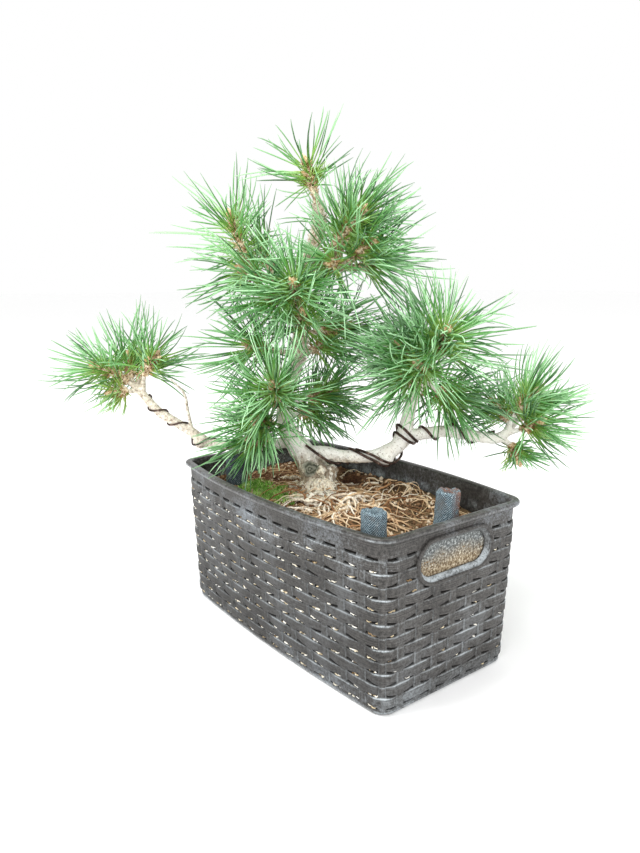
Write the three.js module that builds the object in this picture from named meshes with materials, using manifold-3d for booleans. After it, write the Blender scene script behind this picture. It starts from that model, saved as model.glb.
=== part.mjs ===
// A mugo pine bonsai that grows in a moulded plastic basket with a woven pattern.
//
// Millimetres, +Z up. The origin is the middle of the basket's flat underside, and X runs along
// the basket's long side. The tree spreads in an upright plane that stands SPREAD_ANGLE off that
// side, so the places on the tree are written as [across, front, height]: along the spread,
// out of it towards the basket's front corner, and above the ground.

import * as THREE from 'three';
import { mergeVertices } from 'three/addons/utils/BufferGeometryUtils.js';
import Module from 'manifold-3d';

const wasm = await Module();
wasm.setup();

// Clearances
const TOUCH_GAP = 0.3;
const SOIL_SIDE_GAP = 0.5;
const NEEDLE_GAP = 0.6;

// Basket wall
const BASKET_HEIGHT = 140;
const LIP_UNDERSIDE = 135.8;
const BASE_HALF_LENGTH = 138;
const BASE_HALF_WIDTH = 69.3;
const TOP_HALF_LENGTH = 141.7;
const TOP_HALF_WIDTH = 74.8;
const BASE_BOW = 4.6;
const TOP_BOW = 11.8;
const CORNER_RADIUS = 12;
const WALL_THICKNESS = 2.2;
const FLOOR_THICKNESS = 2.5;
const BASE_CHAMFER = 1.5;
const LIP_REACH = 5;
const LIP_ROUNDING = 1;

// Woven pattern
const LONG_SIDE_STAKES = 14;
const SHORT_SIDE_STAKES = 8;
const WEAVE_ROWS = 12;
const FIRST_ROW_FOOT = 5.7;
const ROW_HEIGHT = 9.75;
const ROW_GROOVE = 0.5;
const STRAND_LIFT = 1.8;

// Handle holes
const HANDLE_HEIGHT = 111.5;
const HANDLE_HOLE_LENGTH = 72;
const HANDLE_HOLE_HEIGHT = 25;
const HANDLE_RING_WIDTH = 6;
const HANDLE_RING_INNER_FACE = 139.6;
const HANDLE_RING_OUTER_FACE = 144.6;
const HANDLE_CUT_MARGIN = 10;
const HANDLE_END_STEPS = 4;

// Mesh behind the handle holes
const MESH_PANEL_LENGTH = 84;
const MESH_PANEL_FOOT = 93;
const MESH_PANEL_TOP = 129;
const MESH_PANEL_THICKNESS = 1;

// Soil
const SOIL_LEVEL = 117;
const SOIL_SLOPE_X = -0.016;
const SOIL_SLOPE_Y = 0.02;
const SOIL_LUMP = 1.3;
const SOIL_LUMP_SPACING = 10;
const SOIL_EDGE_DROP = 2;
const SOIL_RING_SCALES = [0.76, 0.4];

// Tree
const SPREAD_ANGLE = THREE.MathUtils.degToRad(52);
const TRUNK_FOOT = { x: -50, y: 17 };
const STEM_START_RADIUS = 3;
const STEM_END_RADIUS = 2.2;
const SHOOT_TIP_RADIUS = 1.8;
const TRUNK_SIDES = 9;
const BRANCH_SIDES = 7;
const TWIG_SIDES = 5;
const ROOT_SIDES = 4;
const ROOT_STEPS = 3;
const KNOT_SIDES = 7;
const KNOT_STEPS = 4;
const SHOOT_STEM_SIDES = 3;
const SHOOT_SIDES = 4;
const SHOOT_TWIST = THREE.MathUtils.degToRad(34);
const BUD_LENGTH = 3;

// Needles
const SEED = 100;
const NEEDLE_RADIUS = 0.85;
const NEEDLE_LENGTH = 57;
const SHEATH_LENGTH = 1.8;
const SHEATH_LIFT = 0.7;
const SISTER_GAP = 0.15;
const NEEDLE_TRIES = 80;
const NEEDLE_FOOT_TILT = 84;
const NEEDLE_BUD_TILT = 24;
const NEEDLE_KNEE = 0.55;
const NEEDLE_FORWARD_BEND = 0.09;
const NEEDLE_DROOP = 0.04;
const SHORTEST_NEEDLE = 0.86;
const SOIL_HEADROOM = 8;
const RIM_KEEP_OUT = 7;

// Wires
const THICK_WIRE_RADIUS = 1.25;
const THIN_WIRE_RADIUS = 0.9;
const WIRE_STEP = 7;
const WIRE_SIDES = 4;
const WIRE_SPOTS_PER_TURN = 14;
const WIRE_GAP = 0.75;

// Rolled mesh tubes
const MESH_TUBE_RADIUS = 9.7;
const MESH_TUBE_LENGTH = 58;
const MESH_TUBE_SIDES = 12;
const MESH_TUBE_SHOULDER = 2.3;
const MESH_TUBE_CROWN = 0.4;

const material = (color, roughness, metalness = 0) =>
  new THREE.MeshStandardMaterial({ color, roughness, metalness });
const basketPlastic = material(0x37322f, 0.55);
const grittySoil = material(0x6b4227, 0.95);
const greyMesh = material(0x77787a, 0.8);
const blueMesh = material(0x3f5058, 0.8);
const bark = material(0xb0a08c, 0.9);
const copperWire = material(0x3b211b, 0.45, 0.7);
const pineNeedles = material(0x4f8a4c, 0.6);

const group = new THREE.Group();

// The same draw every time: a small multiply-and-shift generator.
function seededRandom(seed) {
  let state = seed;
  return () => {
    state = (state + 0x6d2b79f5) | 0;
    let mixed = Math.imul(state ^ (state >>> 15), 1 | state);
    mixed = (mixed + Math.imul(mixed ^ (mixed >>> 7), 61 | mixed)) ^ mixed;
    return ((mixed ^ (mixed >>> 14)) >>> 0) / 4294967296;
  };
}

function treePoint([across, front, height]) {
  return new THREE.Vector3(
    TRUNK_FOOT.x + across * Math.cos(SPREAD_ANGLE) + front * Math.sin(SPREAD_ANGLE),
    TRUNK_FOOT.y + across * Math.sin(SPREAD_ANGLE) - front * Math.cos(SPREAD_ANGLE),
    height,
  );
}

// Solids

function toSolid(geometry) {
  const bare = geometry.clone();
  bare.deleteAttribute('normal');
  bare.deleteAttribute('uv');
  const merged = mergeVertices(bare);
  return new wasm.Manifold(new wasm.Mesh({
    numProp: 3,
    vertProperties: new Float32Array(merged.attributes.position.array),
    triVerts: new Uint32Array(merged.index.array),
  }));
}

function toGeometry(solid) {
  const { vertProperties, triVerts } = solid.getMesh();
  const geometry = new THREE.BufferGeometry();
  geometry.setAttribute('position', new THREE.BufferAttribute(new Float32Array(vertProperties), 3));
  geometry.setIndex(new THREE.BufferAttribute(new Uint32Array(triVerts), 1));
  return geometry;
}

// What a cut leaves loose is dropped, and the largest body stays.
function largestBody(solid) {
  const bodies = solid.decompose();
  return bodies.reduce((best, body) => (body.volume() > best.volume() ? body : best));
}

function addPart(name, shape, partMaterial) {
  const geometry = shape instanceof THREE.BufferGeometry ? shape : toGeometry(shape);
  const part = new THREE.Mesh(geometry, partMaterial);
  part.name = name;
  group.add(part);
}

// A closed skin over equal rings of points, with a flat fan on the first ring and on the last.
// The diagonals of its faces climb the same way whether the rings go up or down, so that the
// soil's side and the wall round it bend alike.
function loft(rings) {
  const count = rings[0].length;
  const points = rings.flat();
  const faces = [];
  for (let ring = 0; ring + 1 < rings.length; ring++) {
    for (let i = 0; i < count; i++) {
      const here = ring * count + i;
      const next = ring * count + ((i + 1) % count);
      if (rings[ring + 1][i].z < rings[ring][i].z) {
        faces.push(here, next, here + count, next, next + count, here + count);
      } else {
        faces.push(here, next, next + count, here, next + count, here + count);
      }
    }
  }
  const middle = (ring) => ring.reduce((sum, p) => sum.add(p), new THREE.Vector3()).divideScalar(count);
  const firstMiddle = points.push(middle(rings[0])) - 1;
  const lastMiddle = points.push(middle(rings.at(-1))) - 1;
  const lastStart = (rings.length - 1) * count;
  for (let i = 0; i < count; i++) {
    const next = (i + 1) % count;
    faces.push(firstMiddle, next, i, lastMiddle, lastStart + i, lastStart + next);
  }
  const geometry = new THREE.BufferGeometry().setFromPoints(points);
  geometry.setIndex(faces);
  return geometry;
}

// A round stem whose thickness changes along a curve: a cylinder with its rings moved onto it.
function stemGeometry(curve, { from = 0, to = 1, radiusAt, sides, steps }) {
  const centres = [];
  const normals = [];
  const tangents = [];
  const normal = new THREE.Vector3(0, 0, 1);
  for (let i = 0; i <= steps; i++) {
    const u = from + ((to - from) * i) / steps;
    const tangent = curve.getTangentAt(u);
    if (i === 0 && Math.abs(tangent.z) > 0.9) normal.set(1, 0, 0);
    normal.addScaledVector(tangent, -normal.dot(tangent)).normalize();
    centres.push(curve.getPointAt(u));
    normals.push(normal.clone());
    tangents.push(tangent);
  }
  const geometry = new THREE.CylinderGeometry(1, 1, 1, sides, steps);
  const position = geometry.attributes.position;
  const placed = new THREE.Vector3();
  for (let i = 0; i < position.count; i++) {
    const along = position.getY(i) + 0.5;
    const ring = Math.round(along * steps);
    const binormal = new THREE.Vector3().crossVectors(normals[ring], tangents[ring]);
    placed.copy(centres[ring]);
    placed.addScaledVector(normals[ring], position.getX(i) * radiusAt(along));
    placed.addScaledVector(binormal, position.getZ(i) * radiusAt(along));
    position.setXYZ(i, placed.x, placed.y, placed.z);
  }
  return geometry;
}

function ballSolid(centre, radii, turn = 0) {
  const ball = new THREE.SphereGeometry(1, KNOT_SIDES, KNOT_STEPS);
  ball.scale(...radii);
  ball.rotateZ(turn);
  ball.translate(centre.x, centre.y, centre.z);
  return toSolid(ball);
}

// Basket

const mix = (low, high, share) => low + (high - low) * share;

// A column of wall points stands at each stake, and three stand round each corner.
function wallColumns() {
  const columns = [];
  for (let side = 0; side < 4; side++) {
    const isLong = side % 2 === 1;
    const stakes = isLong ? LONG_SIDE_STAKES : SHORT_SIDE_STAKES;
    for (let stake = 1; stake < stakes; stake++) {
      columns.push({ side, isLong, share: (2 * stake) / stakes - 1, stake });
    }
    for (const cornerStep of [1, 2, 3]) {
      columns.push({ side, isLong, cornerStep, stake: cornerStep === 2 ? 0 : null });
    }
  }
  return columns;
}

function wallPoint(column, height, offset) {
  const share = height / LIP_UNDERSIDE;
  const halfLength = mix(BASE_HALF_LENGTH, TOP_HALF_LENGTH, share);
  const halfWidth = mix(BASE_HALF_WIDTH, TOP_HALF_WIDTH, share);
  const facing = (column.side * Math.PI) / 2;
  const out = column.isLong ? halfWidth : halfLength;
  const along = column.isLong ? halfLength : halfWidth;
  const outward = new THREE.Vector3(Math.cos(facing), Math.sin(facing), 0);
  const sideways = new THREE.Vector3(-Math.sin(facing), Math.cos(facing), 0);
  const point = new THREE.Vector3(0, 0, height);
  if (column.cornerStep === undefined) {
    const bow = column.isLong ? mix(BASE_BOW, TOP_BOW, share) * (1 - column.share ** 2) : 0;
    point.addScaledVector(outward, out + bow + offset);
    return point.addScaledVector(sideways, along * column.share);
  }
  const turn = (column.cornerStep * Math.PI) / 8;
  const reach = Math.max(CORNER_RADIUS + offset, 1);
  point.addScaledVector(outward, out - CORNER_RADIUS + reach * Math.cos(turn));
  return point.addScaledVector(sideways, along - CORNER_RADIUS + reach * Math.sin(turn));
}

const columns = wallColumns();
const wallRing = (height, offset) => columns.map((column) => wallPoint(column, height, offset));

// In each row the strand passes over every second stake and behind the others.
function strandOffset(column, row) {
  if (column.stake === null) return STRAND_LIFT / 2;
  return (column.stake + row) % 2 === 1 ? STRAND_LIFT : 0;
}

function weaveRings() {
  const rings = [];
  for (let row = 1; row <= WEAVE_ROWS; row++) {
    const foot = FIRST_ROW_FOOT + (row - 1) * ROW_HEIGHT;
    for (const height of [foot + ROW_GROOVE, foot + ROW_HEIGHT - ROW_GROOVE]) {
      rings.push(columns.map((column) => wallPoint(column, height, strandOffset(column, row))));
    }
  }
  return rings;
}

// A slot with round ends, standing across the basket's end wall.
function uprightSlot(length, height, innerFace, outerFace) {
  const radius = height / 2;
  const straight = length / 2 - radius;
  const outline = new THREE.Shape();
  outline.absarc(straight, 0, radius, -Math.PI / 2, Math.PI / 2, false);
  outline.absarc(-straight, 0, radius, Math.PI / 2, (3 * Math.PI) / 2, false);
  const depth = outerFace - innerFace;
  const curveSegments = HANDLE_END_STEPS;
  const slot = new THREE.ExtrudeGeometry(outline, { depth, bevelEnabled: false, curveSegments });
  const standing = new THREE.Matrix4().makeBasis(
    new THREE.Vector3(0, 1, 0),
    new THREE.Vector3(0, 0, 1),
    new THREE.Vector3(1, 0, 0),
  );
  slot.applyMatrix4(standing);
  slot.translate(innerFace, 0, HANDLE_HEIGHT);
  return slot;
}

function makeBasket() {
  const shell = loft([
    wallRing(0, -BASE_CHAMFER),
    wallRing(BASE_CHAMFER, 0),
    ...weaveRings(),
    wallRing(LIP_UNDERSIDE, 0),
    wallRing(LIP_UNDERSIDE, LIP_REACH),
    wallRing(BASKET_HEIGHT - LIP_ROUNDING, LIP_REACH),
    wallRing(BASKET_HEIGHT, LIP_REACH - LIP_ROUNDING),
    wallRing(BASKET_HEIGHT, -WALL_THICKNESS),
    wallRing(FLOOR_THICKNESS, -WALL_THICKNESS),
  ]);
  let basket = toSolid(shell);
  const ringLength = HANDLE_HOLE_LENGTH + 2 * HANDLE_RING_WIDTH;
  const ringHeight = HANDLE_HOLE_HEIGHT + 2 * HANDLE_RING_WIDTH;
  const cutFrom = BASE_HALF_LENGTH - HANDLE_CUT_MARGIN;
  const cutTo = TOP_HALF_LENGTH + HANDLE_CUT_MARGIN;
  for (const end of [0, Math.PI]) {
    const ring = uprightSlot(ringLength, ringHeight, HANDLE_RING_INNER_FACE, HANDLE_RING_OUTER_FACE);
    const hole = uprightSlot(HANDLE_HOLE_LENGTH, HANDLE_HOLE_HEIGHT, cutFrom, cutTo);
    basket = basket.add(toSolid(ring.rotateZ(end)));
    basket = basket.subtract(toSolid(hole.rotateZ(end)));
  }
  return basket;
}

// Mesh panel

// The sheet leans with the wall that it lies behind.
function meshPanel(end, grow = 0) {
  const thickness = MESH_PANEL_THICKNESS + 2 * grow;
  const length = MESH_PANEL_LENGTH + 2 * grow;
  const height = MESH_PANEL_TOP - MESH_PANEL_FOOT + 2 * grow;
  const panel = new THREE.BoxGeometry(thickness, length, height);
  const lean = (TOP_HALF_LENGTH - BASE_HALF_LENGTH) / LIP_UNDERSIDE;
  const middleHeight = (MESH_PANEL_TOP + MESH_PANEL_FOOT) / 2;
  const innerWall = BASE_HALF_LENGTH + lean * middleHeight - WALL_THICKNESS;
  const shear = new THREE.Matrix4().makeShear(0, 0, 0, 0, lean, 0);
  panel.applyMatrix4(shear);
  panel.translate(innerWall - TOUCH_GAP - MESH_PANEL_THICKNESS / 2, 0, middleHeight);
  return panel.rotateZ(end);
}

// Soil

function soilHeight(x, y) {
  const lumps = Math.sin(x / SOIL_LUMP_SPACING) * Math.cos(y / SOIL_LUMP_SPACING);
  return SOIL_LEVEL + SOIL_SLOPE_X * x + SOIL_SLOPE_Y * y + SOIL_LUMP * lumps;
}

function soilBody() {
  const inset = -WALL_THICKNESS - SOIL_SIDE_GAP;
  const foot = wallRing(FLOOR_THICKNESS + TOUCH_GAP, inset);
  const edge = wallRing(SOIL_LEVEL - SOIL_EDGE_DROP, inset);
  const topRings = SOIL_RING_SCALES.map((scale) => edge.map(({ x, y }) => {
    const height = soilHeight(x * scale, y * scale);
    return new THREE.Vector3(x * scale, y * scale, height);
  }));
  return toSolid(loft([foot, edge, ...topRings]));
}

// Rolled mesh tubes

const meshTubes = [
  { name: 'mesh_tube_front', x: 113, y: -57, top: 150 },
  { name: 'mesh_tube_right', x: 115, y: 17, top: 152 },
  { name: 'mesh_tube_left', x: -103, y: -42, top: 145 },
];

function meshTube({ x, y, top }, grow = 0) {
  const radius = MESH_TUBE_RADIUS + grow;
  const foot = top - MESH_TUBE_LENGTH - grow;
  const profile = [
    new THREE.Vector2(0, foot),
    new THREE.Vector2(radius, foot),
    new THREE.Vector2(radius, top - MESH_TUBE_SHOULDER),
    new THREE.Vector2(radius - MESH_TUBE_SHOULDER, top - MESH_TUBE_CROWN),
    new THREE.Vector2(0, top),
  ];
  const tube = new THREE.LatheGeometry(profile, MESH_TUBE_SIDES);
  tube.rotateX(Math.PI / 2);
  tube.translate(x, y, 0);
  return tube;
}

// Wood
// Each limb is a list of [across, front, height, radius].

const limbs = {
  trunk: [
    [2, 0, 100, 12], [2, 0, 113, 17], [1, 0, 124, 17], [-5, 0, 136, 13.5], [-13, 0, 150, 11.5],
    [-23, 0, 163, 9.8], [-30, 3, 181, 8.4], [-29, 3, 202, 7.4], [-24, 0, 220, 6.6], [-17, -3, 244, 6],
    [-15, -4, 267, 5.6], [-17, -2, 290, 5.2], [-13, 0, 312, 4.8], [-6, 2, 332, 4.4], [0, 3, 352, 3.8],
    [4, 4, 367, 3.4], [1, 5, 379, 3],
  ],
  rightBranch: [
    [-14, 1, 150, 7], [3, 8, 152, 7], [26, 14, 150, 6.2], [50, 18, 151, 6], [70, 18, 157, 7.6],
    [79, 17, 166, 8], [83, 18, 181, 6.6], [87, 20, 202, 5.6], [94, 24, 220, 5], [102, 30, 238, 4],
  ],
  rightFork: [
    [76, 17, 162, 6], [88, 18, 170, 6], [100, 20, 173, 5.8], [123, 20, 175, 5.6], [151, 22, 170, 5.4],
    [167, 22, 169, 5], [176, 23, 175, 3.8],
  ],
  leftBranch: [
    [-20, 0, 163, 6], [-30, -2, 160, 5.4], [-50, -4, 156, 4.8], [-75, -8, 155, 4.6], [-102, -10, 157, 5],
    [-112, -11, 161, 5.8], [-120, -12, 167, 4.8], [-138, -14, 178, 4.6], [-154, -16, 188, 4.5],
    [-166, -18, 201, 4], [-174, -20, 210, 3.4],
  ],
  upperRightBranch: [[-9, 1, 327, 3.6], [3, 5, 329, 3.3], [14, 9, 338, 2.8]],
  middleRightBranch: [[-13, 0, 315, 3.6], [5, 4, 319, 3.2], [21, 6, 323, 3], [34, 8, 323, 2.6]],
  upperLeftBranch: [[-15, -1, 301, 3.6], [-30, 0, 308, 3.3], [-45, 2, 314, 3], [-56, 3, 322, 2.6]],
  deadTwig: [[-121, -12, 167, 1.4], [-124, -8, 191, 1.2], [-126, -4, 207, 1], [-137, 2, 222, 0.7]],
};

// Knots, the swollen elbow, the sawn stub and the root flare in front of the trunk:
// [across, front, height] and radii across, to the front and up.
const knots = [
  { at: [-9, 12, 137], radii: [7, 7, 6.5] },
  { at: [5, 13, 136], radii: [6, 6, 6] },
  { at: [14, 3, 133], radii: [7, 7, 7] },
  { at: [64, 21, 150], radii: [8, 8, 6.5] },
  { at: [-113, -9, 159], radii: [7, 6.5, 6.5] },
  { at: [-4, 15, 121], radii: [12, 11, 8] },
  { at: [4, 25, 122], radii: [15, 13, 8] },
  { at: [8, 40, 119], radii: [13, 11, 6] },
];

// Surface roots: compass angle from the basket's long side, length, thickness at the trunk.
const surfaceRoots = [
  { angle: -88, length: 46, radius: 4.8 },
  { angle: -44, length: 62, radius: 5.4 },
  { angle: -4, length: 70, radius: 4.4 },
  { angle: 52, length: 46, radius: 3.6 },
  { angle: 130, length: 38, radius: 3.4 },
  { angle: -172, length: 50, radius: 4 },
  { angle: -130, length: 44, radius: 3.6 },
];

// Each spray is a shoot with its needles. Its stem leaves a limb at `from` and ends at `base`,
// where the needled shoot starts, and the shoot's bud is at `tip`. Then come the number of its
// needles and their length as a share of the longest.
const spray = (name, from, base, tip, needles, reach) => ({ name, from, base, tip, needles, reach });
const sprays = [
  spray('apex', [2, 5, 374], [-1, 5, 388], [-9, 8, 413], 16, 1),
  spray('upright_a', [11, 8, 336], [18, 10, 344], [40, 24, 371], 16, 0.95),
  spray('upright_b', [11, 8, 335], [18, 0, 348], [34, -14, 372], 12, 0.95),
  spray('upright_c', [20, 6, 323], [30, 14, 330], [48, 30, 345], 12, 0.95),
  spray('upright_d', [30, 8, 323], [40, 8, 324], [55, 12, 331], 12, 0.95),
  spray('upright_e', [18, 6, 322], [20, 14, 325], [12, 32, 326], 8, 0.95),
  spray('upright_f', [2, 5, 329], [16, -8, 336], [31, -34, 353], 8, 0.95),
  spray('centre_a', [-16, -2, 284], [-16, 16, 293], [-19, 46, 310], 16, 0.95),
  spray('centre_b', [-16, -1, 292], [-28, 10, 295], [-43, 28, 299], 12, 0.95),
  spray('centre_c', [-15, -4, 258], [-12, 5, 267], [-12, 24, 283], 8, 0.95),
  spray('upper_left_a', [-53, 3, 320], [-63, 4, 330], [-76, 6, 368], 16, 1),
  spray('upper_left_b', [-32, 0, 308], [-41, -8, 322], [-55, -22, 346], 12, 0.95),
  spray('upper_left_c', [-38, 1, 311], [-49, 7, 313], [-66, 16, 322], 12, 0.95),
  spray('middle_left', [-17, -3, 245], [-41, 8, 249], [-61, 22, 256], 12, 0.95),
  spray('middle_right_a', [-17, -3, 243], [-4, -10, 247], [11, -28, 257], 12, 0.95),
  spray('middle_right_b', [-15, -4, 262], [2, -7, 266], [29, -14, 270], 12, 0.95),
  spray('lower_a', [-29, 3, 194], [-34, 20, 201], [-37, 52, 223], 16, 0.98),
  spray('lower_b', [-30, 3, 179], [-41, 15, 182], [-56, 34, 189], 12, 0.9),
  spray('lower_c', [-41, -3, 157], [-49, 8, 163], [-61, 26, 168], 8, 0.85),
  spray('lower_d', [-28, 3, 200], [-8, -8, 202], [14, -20, 206], 8, 0.85),
  spray('lower_e', [-29, 3, 187], [-18, -8, 187], [-3, -34, 187], 8, 0.8),
  spray('left_a', [-173, -20, 209], [-184, -19, 217], [-212, -12, 234], 16, 0.9),
  spray('left_b', [-173, -20, 209], [-182, -25, 220], [-187, -36, 239], 12, 0.9),
  spray('left_c', [-169, -19, 205], [-166, -18, 224], [-153, -12, 242], 12, 0.9),
  spray('left_d', [-172, -20, 208], [-183, -13, 208], [-195, -6, 208], 8, 0.45),
  spray('left_e', [-171, -19, 207], [-174, -29, 218], [-176, -54, 238], 12, 0.78),
  spray('right_a', [101, 30, 236], [104, 36, 246], [111, 56, 270], 20, 1.12),
  spray('right_b', [97, 26, 226], [92, 25, 240], [75, 29, 255], 16, 1),
  spray('right_c', [98, 26, 228], [98, 36, 233], [87, 54, 240], 12, 1),
  spray('right_d', [92, 23, 214], [88, 29, 222], [76, 42, 232], 12, 1),
  spray('right_e', [97, 25, 225], [110, 24, 214], [127, 20, 203], 12, 0.95),
  spray('right_f', [100, 28, 233], [100, 15, 246], [98, -10, 263], 12, 0.95),
  spray('far_a', [175, 23, 174], [182, 26, 194], [195, 30, 212], 16, 0.85),
  spray('far_b', [174, 23, 173], [187, 28, 179], [200, 37, 187], 12, 0.85),
  spray('far_c', [168, 22, 169], [179, 24, 163], [185, 28, 150], 8, 0.5),
  spray('far_d', [173, 22, 172], [178, 15, 184], [167, 4, 198], 12, 0.8),
  spray('far_e', [175, 23, 174], [190, 11, 186], [207, -14, 197], 12, 0.72),
  spray('back_a', [-16, -2, 289], [-20, -16, 297], [-31, -46, 307], 8, 0.9),
  spray('back_b', [88, 20, 203], [93, 6, 206], [104, -24, 217], 8, 0.9),
];

const routeOf = (points) => new THREE.CatmullRomCurve3(points.map(treePoint));

// What a needle or a wire has to stay clear of: thick lines from `a` to `b`.
const thickLines = [];

function keepClearOf(curve, from, to, radiusAt, steps, owner) {
  for (let i = 0; i < steps; i++) {
    const a = curve.getPointAt(mix(from, to, i / steps));
    const b = curve.getPointAt(mix(from, to, (i + 1) / steps));
    const radius = Math.max(radiusAt(i / steps), radiusAt((i + 1) / steps));
    thickLines.push({ a, b, radius, owner });
  }
}

// Reads a limb's radius at a share of its length, from the nearest two points of its list.
function limbRadius(points) {
  const curve = routeOf(points);
  const reach = [0];
  for (let i = 1; i < points.length; i++) {
    reach.push(reach[i - 1] + treePoint(points[i]).distanceTo(treePoint(points[i - 1])));
  }
  const total = reach.at(-1);
  return {
    curve,
    radiusAt: (share) => {
      const place = Math.min(Math.max(share, 0), 1) * total;
      const i = Math.min(reach.findIndex((r, k) => k > 0 && r >= place - 1e-6), points.length - 1);
      return mix(points[i - 1][3], points[i][3], (place - reach[i - 1]) / (reach[i] - reach[i - 1]));
    },
  };
}

function stemOf({ from, base, tip }) {
  const curve = routeOf([from, base, tip]);
  const stemLength = treePoint(from).distanceTo(treePoint(base));
  const shootLength = treePoint(base).distanceTo(treePoint(tip));
  return { curve, share: stemLength / (stemLength + shootLength) };
}

function rootRoute({ angle, length }) {
  const turn = THREE.MathUtils.degToRad(angle);
  const at = (reach, bend, lift) => {
    const x = TRUNK_FOOT.x + reach * Math.cos(turn + bend);
    const y = TRUNK_FOOT.y + reach * Math.sin(turn + bend);
    return new THREE.Vector3(x, y, soilHeight(x, y) + lift);
  };
  return new THREE.CatmullRomCurve3([
    at(6, 0, 4),
    at(20, 0.06, 1.6),
    at(length * 0.55, -0.08, 0.4),
    at(length * 0.8, 0.06, -0.2),
    at(length, 0.16, -3),
  ]);
}

function rootSolids(grow) {
  return surfaceRoots.map((root) => toSolid(stemGeometry(rootRoute(root), {
    radiusAt: (along) => mix(root.radius, root.radius * 0.3, along) + grow,
    sides: ROOT_SIDES,
    steps: ROOT_STEPS,
  })));
}

function limbSolid(points, grow = 0) {
  const { curve, radiusAt } = limbRadius(points);
  const thickness = points[0][3];
  const thickSides = points === limbs.trunk ? TRUNK_SIDES : BRANCH_SIDES;
  const sides = thickness > 5 ? thickSides : TWIG_SIDES;
  const steps = points.length + (thickness > 5 ? 2 : 0);
  return toSolid(stemGeometry(curve, { radiusAt: (along) => radiusAt(along) + grow, sides, steps }));
}

// The plain hole that the trunk's foot stands in, clear of it on every side and below.
function trunkHole() {
  const grown = limbSolid(limbs.trunk, TOUCH_GAP);
  return grown.add(grown.translate(0, 0, -TOUCH_GAP));
}

function knotSolids(grow) {
  return knots.map(({ at, radii }) => ballSolid(treePoint(at), radii.map((r) => r + grow), SPREAD_ANGLE));
}

function shootStem({ curve, share }) {
  const radiusAt = (along) => mix(STEM_START_RADIUS, STEM_END_RADIUS, along);
  return toSolid(stemGeometry(curve, { to: share, radiusAt, sides: SHOOT_STEM_SIDES, steps: 1 }));
}

function makeWood() {
  let wood = null;
  for (const points of Object.values(limbs)) {
    const { curve, radiusAt } = limbRadius(points);
    wood = wood ? wood.add(limbSolid(points)) : limbSolid(points);
    keepClearOf(curve, 0, 1, radiusAt, points.length * 4, 'wood');
  }
  for (const shoot of sprays) {
    const stem = stemOf(shoot);
    wood = wood.add(shootStem(stem));
    keepClearOf(stem.curve, 0, 1, () => STEM_START_RADIUS, 8, shoot.name);
  }
  for (const { at, radii } of knots) {
    const centre = treePoint(at);
    thickLines.push({ a: centre, b: centre, radius: Math.max(...radii), owner: 'wood' });
  }
  for (const lump of [...knotSolids(0), ...rootSolids(0)]) wood = wood.add(lump);
  return wood;
}

// Needles

function segmentDistance(a, b, c, d) {
  const first = new THREE.Vector3().subVectors(b, a);
  const second = new THREE.Vector3().subVectors(d, c);
  const between = new THREE.Vector3().subVectors(a, c);
  const firstLength = first.lengthSq();
  const secondLength = second.lengthSq();
  const lean = first.dot(second);
  const firstShift = first.dot(between);
  const secondShift = second.dot(between);
  const clamp = (value) => Math.min(Math.max(value, 0), 1);
  const spread = firstLength * secondLength - lean * lean;
  let s = spread > 1e-9 ? clamp((lean * secondShift - firstShift * secondLength) / spread) : 0;
  const t = secondLength > 1e-9 ? clamp((lean * s + secondShift) / secondLength) : 0;
  s = firstLength > 1e-9 ? clamp((lean * t - firstShift) / firstLength) : 0;
  const onFirst = a.clone().addScaledVector(first, s);
  const onSecond = c.clone().addScaledVector(second, t);
  return onFirst.distanceTo(onSecond);
}

function isClear(a, b, radius, gap, owner) {
  return thickLines.every((line) => {
    if (line.owner === owner) return true;
    return segmentDistance(a, b, line.a, line.b) > radius + line.radius + gap;
  });
}

// Needles sit in a spiral round the shoot. They stand out wide at its foot and point
// forwards at its bud, so that they fill the space evenly on all sides.
function needlePath(face, axis, step, reach, search, random) {
  const outward = face.normal.clone().addScaledVector(axis, -face.normal.dot(axis)).normalize();
  outward.applyAxisAngle(axis, (random() - 0.5) * mix(0.5, 2.4, search));
  const lean = (random() - 0.5) * mix(10, 44, search);
  const tilt = THREE.MathUtils.degToRad(mix(NEEDLE_FOOT_TILT, NEEDLE_BUD_TILT, step ** 1.3) + lean);
  const direction = axis.clone().multiplyScalar(Math.cos(tilt));
  direction.addScaledVector(outward, Math.sin(tilt));
  const length = NEEDLE_LENGTH * reach * mix(SHORTEST_NEEDLE, 1, random());
  const root = face.centre.clone().addScaledVector(direction, SHEATH_LENGTH);
  root.addScaledVector(face.normal, SHEATH_LIFT);
  const middle = root.clone().addScaledVector(direction, length * NEEDLE_KNEE);
  const tip = root.clone().addScaledVector(direction, length);
  tip.addScaledVector(axis, length * NEEDLE_FORWARD_BEND);
  tip.z -= length * NEEDLE_DROOP;
  return { direction, root, middle, tip };
}

// Draws a face of the shoot out into a three-sided needle, gently bent, with a pointed end.
function drawOutNeedle(points, faces, face, { direction, root, middle, tip }) {
  const across = new THREE.Vector3().subVectors(points[face.corners[0]], face.centre);
  across.addScaledVector(direction, -across.dot(direction)).normalize();
  const rings = [face.corners];
  for (const centre of [root, middle]) {
    rings.push([0, 1, 2].map((corner) => {
      const arm = across.clone().applyAxisAngle(direction, (corner * 2 * Math.PI) / 3);
      return points.push(centre.clone().addScaledVector(arm, NEEDLE_RADIUS)) - 1;
    }));
  }
  const end = points.push(tip) - 1;
  for (let corner = 0; corner < 3; corner++) {
    const next = (corner + 1) % 3;
    for (let ring = 0; ring < 2; ring++) {
      const [low, high] = [rings[ring], rings[ring + 1]];
      faces.push([low[corner], low[next], high[next]], [low[corner], high[next], high[corner]]);
    }
    faces.push([rings[2][corner], rings[2][next], end]);
  }
}

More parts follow.
